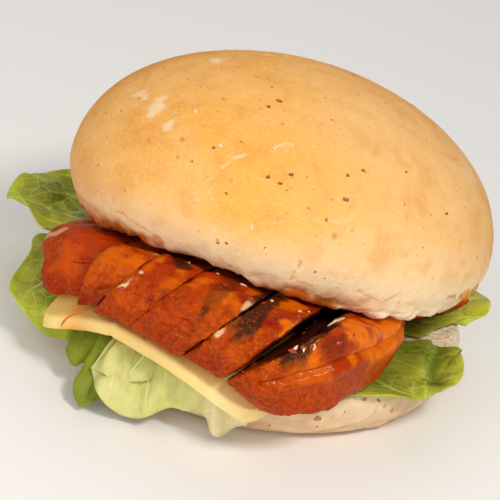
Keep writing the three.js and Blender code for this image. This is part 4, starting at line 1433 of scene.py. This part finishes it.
def leaf_middle(shape, u, v):
    """The sheet between inner line and rim: straight in plan, level on the heel, and bending down or up past
    its edge by the share of the way from there to the rim."""
    a, b = through_points(shape["inner"], v), through_points(shape["rim"], v)
    plan = lerp(a, b, u[..., None])
    reach = np.hypot(b[..., 0], b[..., 1])
    past = np.hypot(plan[..., 0], plan[..., 1]) - LEAF_BEND_RADIUS
    past = past / np.maximum(reach - LEAF_BEND_RADIUS, 0.1)
    out = np.where(reach > LEAF_BEND_RADIUS + 1, np.clip(past, 0, 1), u**3)
    plan[..., 2] = lerp(a[..., 2], b[..., 2], out)
    return plan


def leaf_veins(shape, u, v):
    """1 on the veins: main veins that fan out along u and wander a little, and finer side veins that leave
    them on the slant, all thinning towards the rim."""
    wander = 0.25 * np.sin(3 * u + 5 * v) + 0.12 * np.sin(9 * u + 2 * v)
    off = np.abs(((v * shape["veins"] + wander) % 1) - 0.5)
    main = bump(off * shape["vein_gap"], 0, 0.55 - 0.3 * u)
    slant = np.abs(((u * shape["side_veins"] + off * 3 + 0.3 * np.sin(11 * v)) % 1) - 0.5)
    side = 0.5 * bump(slant, 0, 0.05) * smooth(0.02, 0.12, off)
    return np.clip(main + side, 0, 1) * smooth(1.0, 0.9, u)


print("leaves bend", round(LEAF_BEND_RADIUS - HEEL_RADIUS, 1), "mm past the heel's edge")

# %% Folds, ruffles and cushions of a leaf
FRILL_HEIGHT = 1.1
VEIN_DEPTH = 0.25
PLEATS_ROUND = 7.3
# The folds of a leaf, as shares of the fold's height: its lip, the hollow beside it and the swelling beyond
FOLD_SHARES = (1.2, 0.8, 0.8)


def leaf_folds(shape, middle):
    """Folds across the leaf: the side to the left of the line stands up and ends in a lip, beyond it the
    leaf dips and then swells again. Returns the lift and how much shade gathers in the dip."""
    lift, dip = 0 * middle[..., 0], 0 * middle[..., 0]
    for line, height in shape.get("folds", []):
        xs, ys = np.transpose(line)
        off = middle[..., 0] - np.interp(middle[..., 1], ys, xs)
        within = smooth(ys[0] - 6, ys[0] - 1, middle[..., 1])
        within = within * (1 - smooth(ys[-1] + 1, ys[-1] + 6, middle[..., 1]))
        lip = smooth(-7, -0.3, off) * (1 - smooth(-0.3, 0.5, off))
        hollow = bump(off, 2.6, 2.2)
        swell = smooth(4, 8, off) * (1 - smooth(9, 14, off))
        up, down, beyond = FOLD_SHARES
        lift = lift + within * height * (up * lip - down * hollow + beyond * swell)
        dip = np.maximum(dip, within * hollow)
    return lift, dip


def leaf_lift(shape, u, v, middle, veins):
    """How far the leaf stands off its middle sheet once it is past the heel: ruffles, a gently waving rim,
    pleats, and cushions between the veins, which lie lower."""
    grown = smooth(HEEL_RADIUS - 3, HEEL_RADIUS + 7, np.hypot(middle[..., 0], middle[..., 1]))
    ruffle = shape["ruffle"] * np.sin(2 * np.pi * shape["waves"] * v + shape["phase"])
    frill = FRILL_HEIGHT * noise(middle, 6.5, 101) * smooth(0.6, 1, u)
    turns = PLEATS_ROUND * v + 0.5 * noise(middle, 14, 103)
    pleats = shape.get("pleats", 0) * np.sin(2 * np.pi * turns) * smooth(0.15, 0.5, u)
    blisters = 0.8 * roughness(middle, 8, 2, 100) + 0.25 * noise(middle, 2.6, 102)
    cushion = shape["cushion"] * (1 - 0.8 * veins) * blisters
    return grown * (ruffle + frill + cushion + pleats - VEIN_DEPTH * veins)


def leaf_sheets(shape):
    """The leaf's two faces: its middle sheet moved along the normal by its lift and folds, then by half the
    thickness to each side, thinner at the rim. Returns them with the channels that follow from the shape."""
    u, v = np.meshgrid(np.linspace(0, 1, LEAF_GRID[0]), np.linspace(0, 1, LEAF_GRID[1]), indexing="ij")
    middle = leaf_middle(shape, u, v)
    normal = -grid_normals(middle, False)
    veins = leaf_veins(shape, u, v)
    fold, dip = leaf_folds(shape, middle)
    shaped = middle + normal * (leaf_lift(shape, u, v, middle, veins) + fold)[..., None]
    thick = (LEAF_THICK / 2 * (0.45 + 0.55 * smooth(1.0, 0.9, u)))[..., None]
    buried = smooth(HEEL_RADIUS + 2, HEEL_RADIUS - 6, np.hypot(middle[..., 0], middle[..., 1]))
    channels = {
        "vein": 0.75 * veins,
        "tip": 0.5 * smooth(0.75, 1, u),
        "shade": np.maximum(0.9 * dip, 0.6 * buried),
        "cream": 0 * u,
    }
    return shaped + normal * thick, shaped - normal * thick, channels, middle, u


print("a leaf has", 2 * LEAF_GRID[0] * LEAF_GRID[1], "points")

# %% Finish of the leaves
LEAF_SOAKING = (0.2, (0.6, 1.0, 0.2), 1)
STALK_CREAM = (0.86, 0.76, 0.46)
GREEN_LEAF = dict(deep=(0.11, 0.15, 0.005), bright=(0.56, 0.61, 0.050), vein=(0.78, 0.80, 0.17),
                  net_share=0.38)
PALE_LEAF = dict(deep=(0.44, 0.47, 0.10), bright=(0.66, 0.64, 0.25), vein=(0.80, 0.76, 0.42),
                 net_share=0.04)


def leaf_finish(name, deep, bright, vein, net_share):
    """Leaf green in cloudy patches, lighter along the veins and the fine net, and lit through a little."""
    material, tree, shader = new_finish(name, LEAF_SOAKING, Roughness=0.38, Specular_IOR_Level=0.14)
    patches = use_group(tree, CLOUDS, scale=65, detail=4, low=0.34, high=0.66, warp=0.4)
    fine = use_group(tree, CLOUDS, scale=500, detail=4, low=0.3, high=0.7)
    net = use_group(tree, VEIN_NET, scale=230, width=0.06)
    layers = [(patches, bright), (times(tree, fine, 0.18), vein), (times(tree, net, net_share), vein),
              ("vein", vein), ("tip", bright), ("shade", deep), ("cream", STALK_CREAM)]
    tree.links.new(paint(tree, deep, layers), shader.inputs["Base Color"])
    add_bump(tree, shader, plus(tree, times(tree, net, -0.5), fine), 0.12)
    return material


green_finish = leaf_finish("green_leaf", **GREEN_LEAF)
pale_finish = leaf_finish("pale_leaf", **PALE_LEAF)
print("leaf finishes:", green_finish.name, pale_finish.name)

# %% The five leaves
for name, shape in LEAVES.items():
    upper, lower, channels, middle, u = leaf_sheets(shape)
    finish, slot = green_finish, "lettuce_green"
    if name == "leaf_pale":
        finish, slot = pale_finish, "lettuce_pale"
        channels["cream"] = 0.85 * smooth(-14, -3, middle[..., 0]) * smooth(0.2, 0.7, u)
    if name == "leaf_left_lower":
        front_lobes = smooth(-36, -42, middle[..., 1])
        channels["shade"] = np.maximum(channels["shade"], 0.75 * front_lobes)
    channels = {key: np.tile(values.ravel(), 2) for key, values in channels.items()}
    make_piece(name.replace("leaf", "lettuce"), as_list(upper, lower), shell_faces(*LEAF_GRID), finish,
               channels, name)
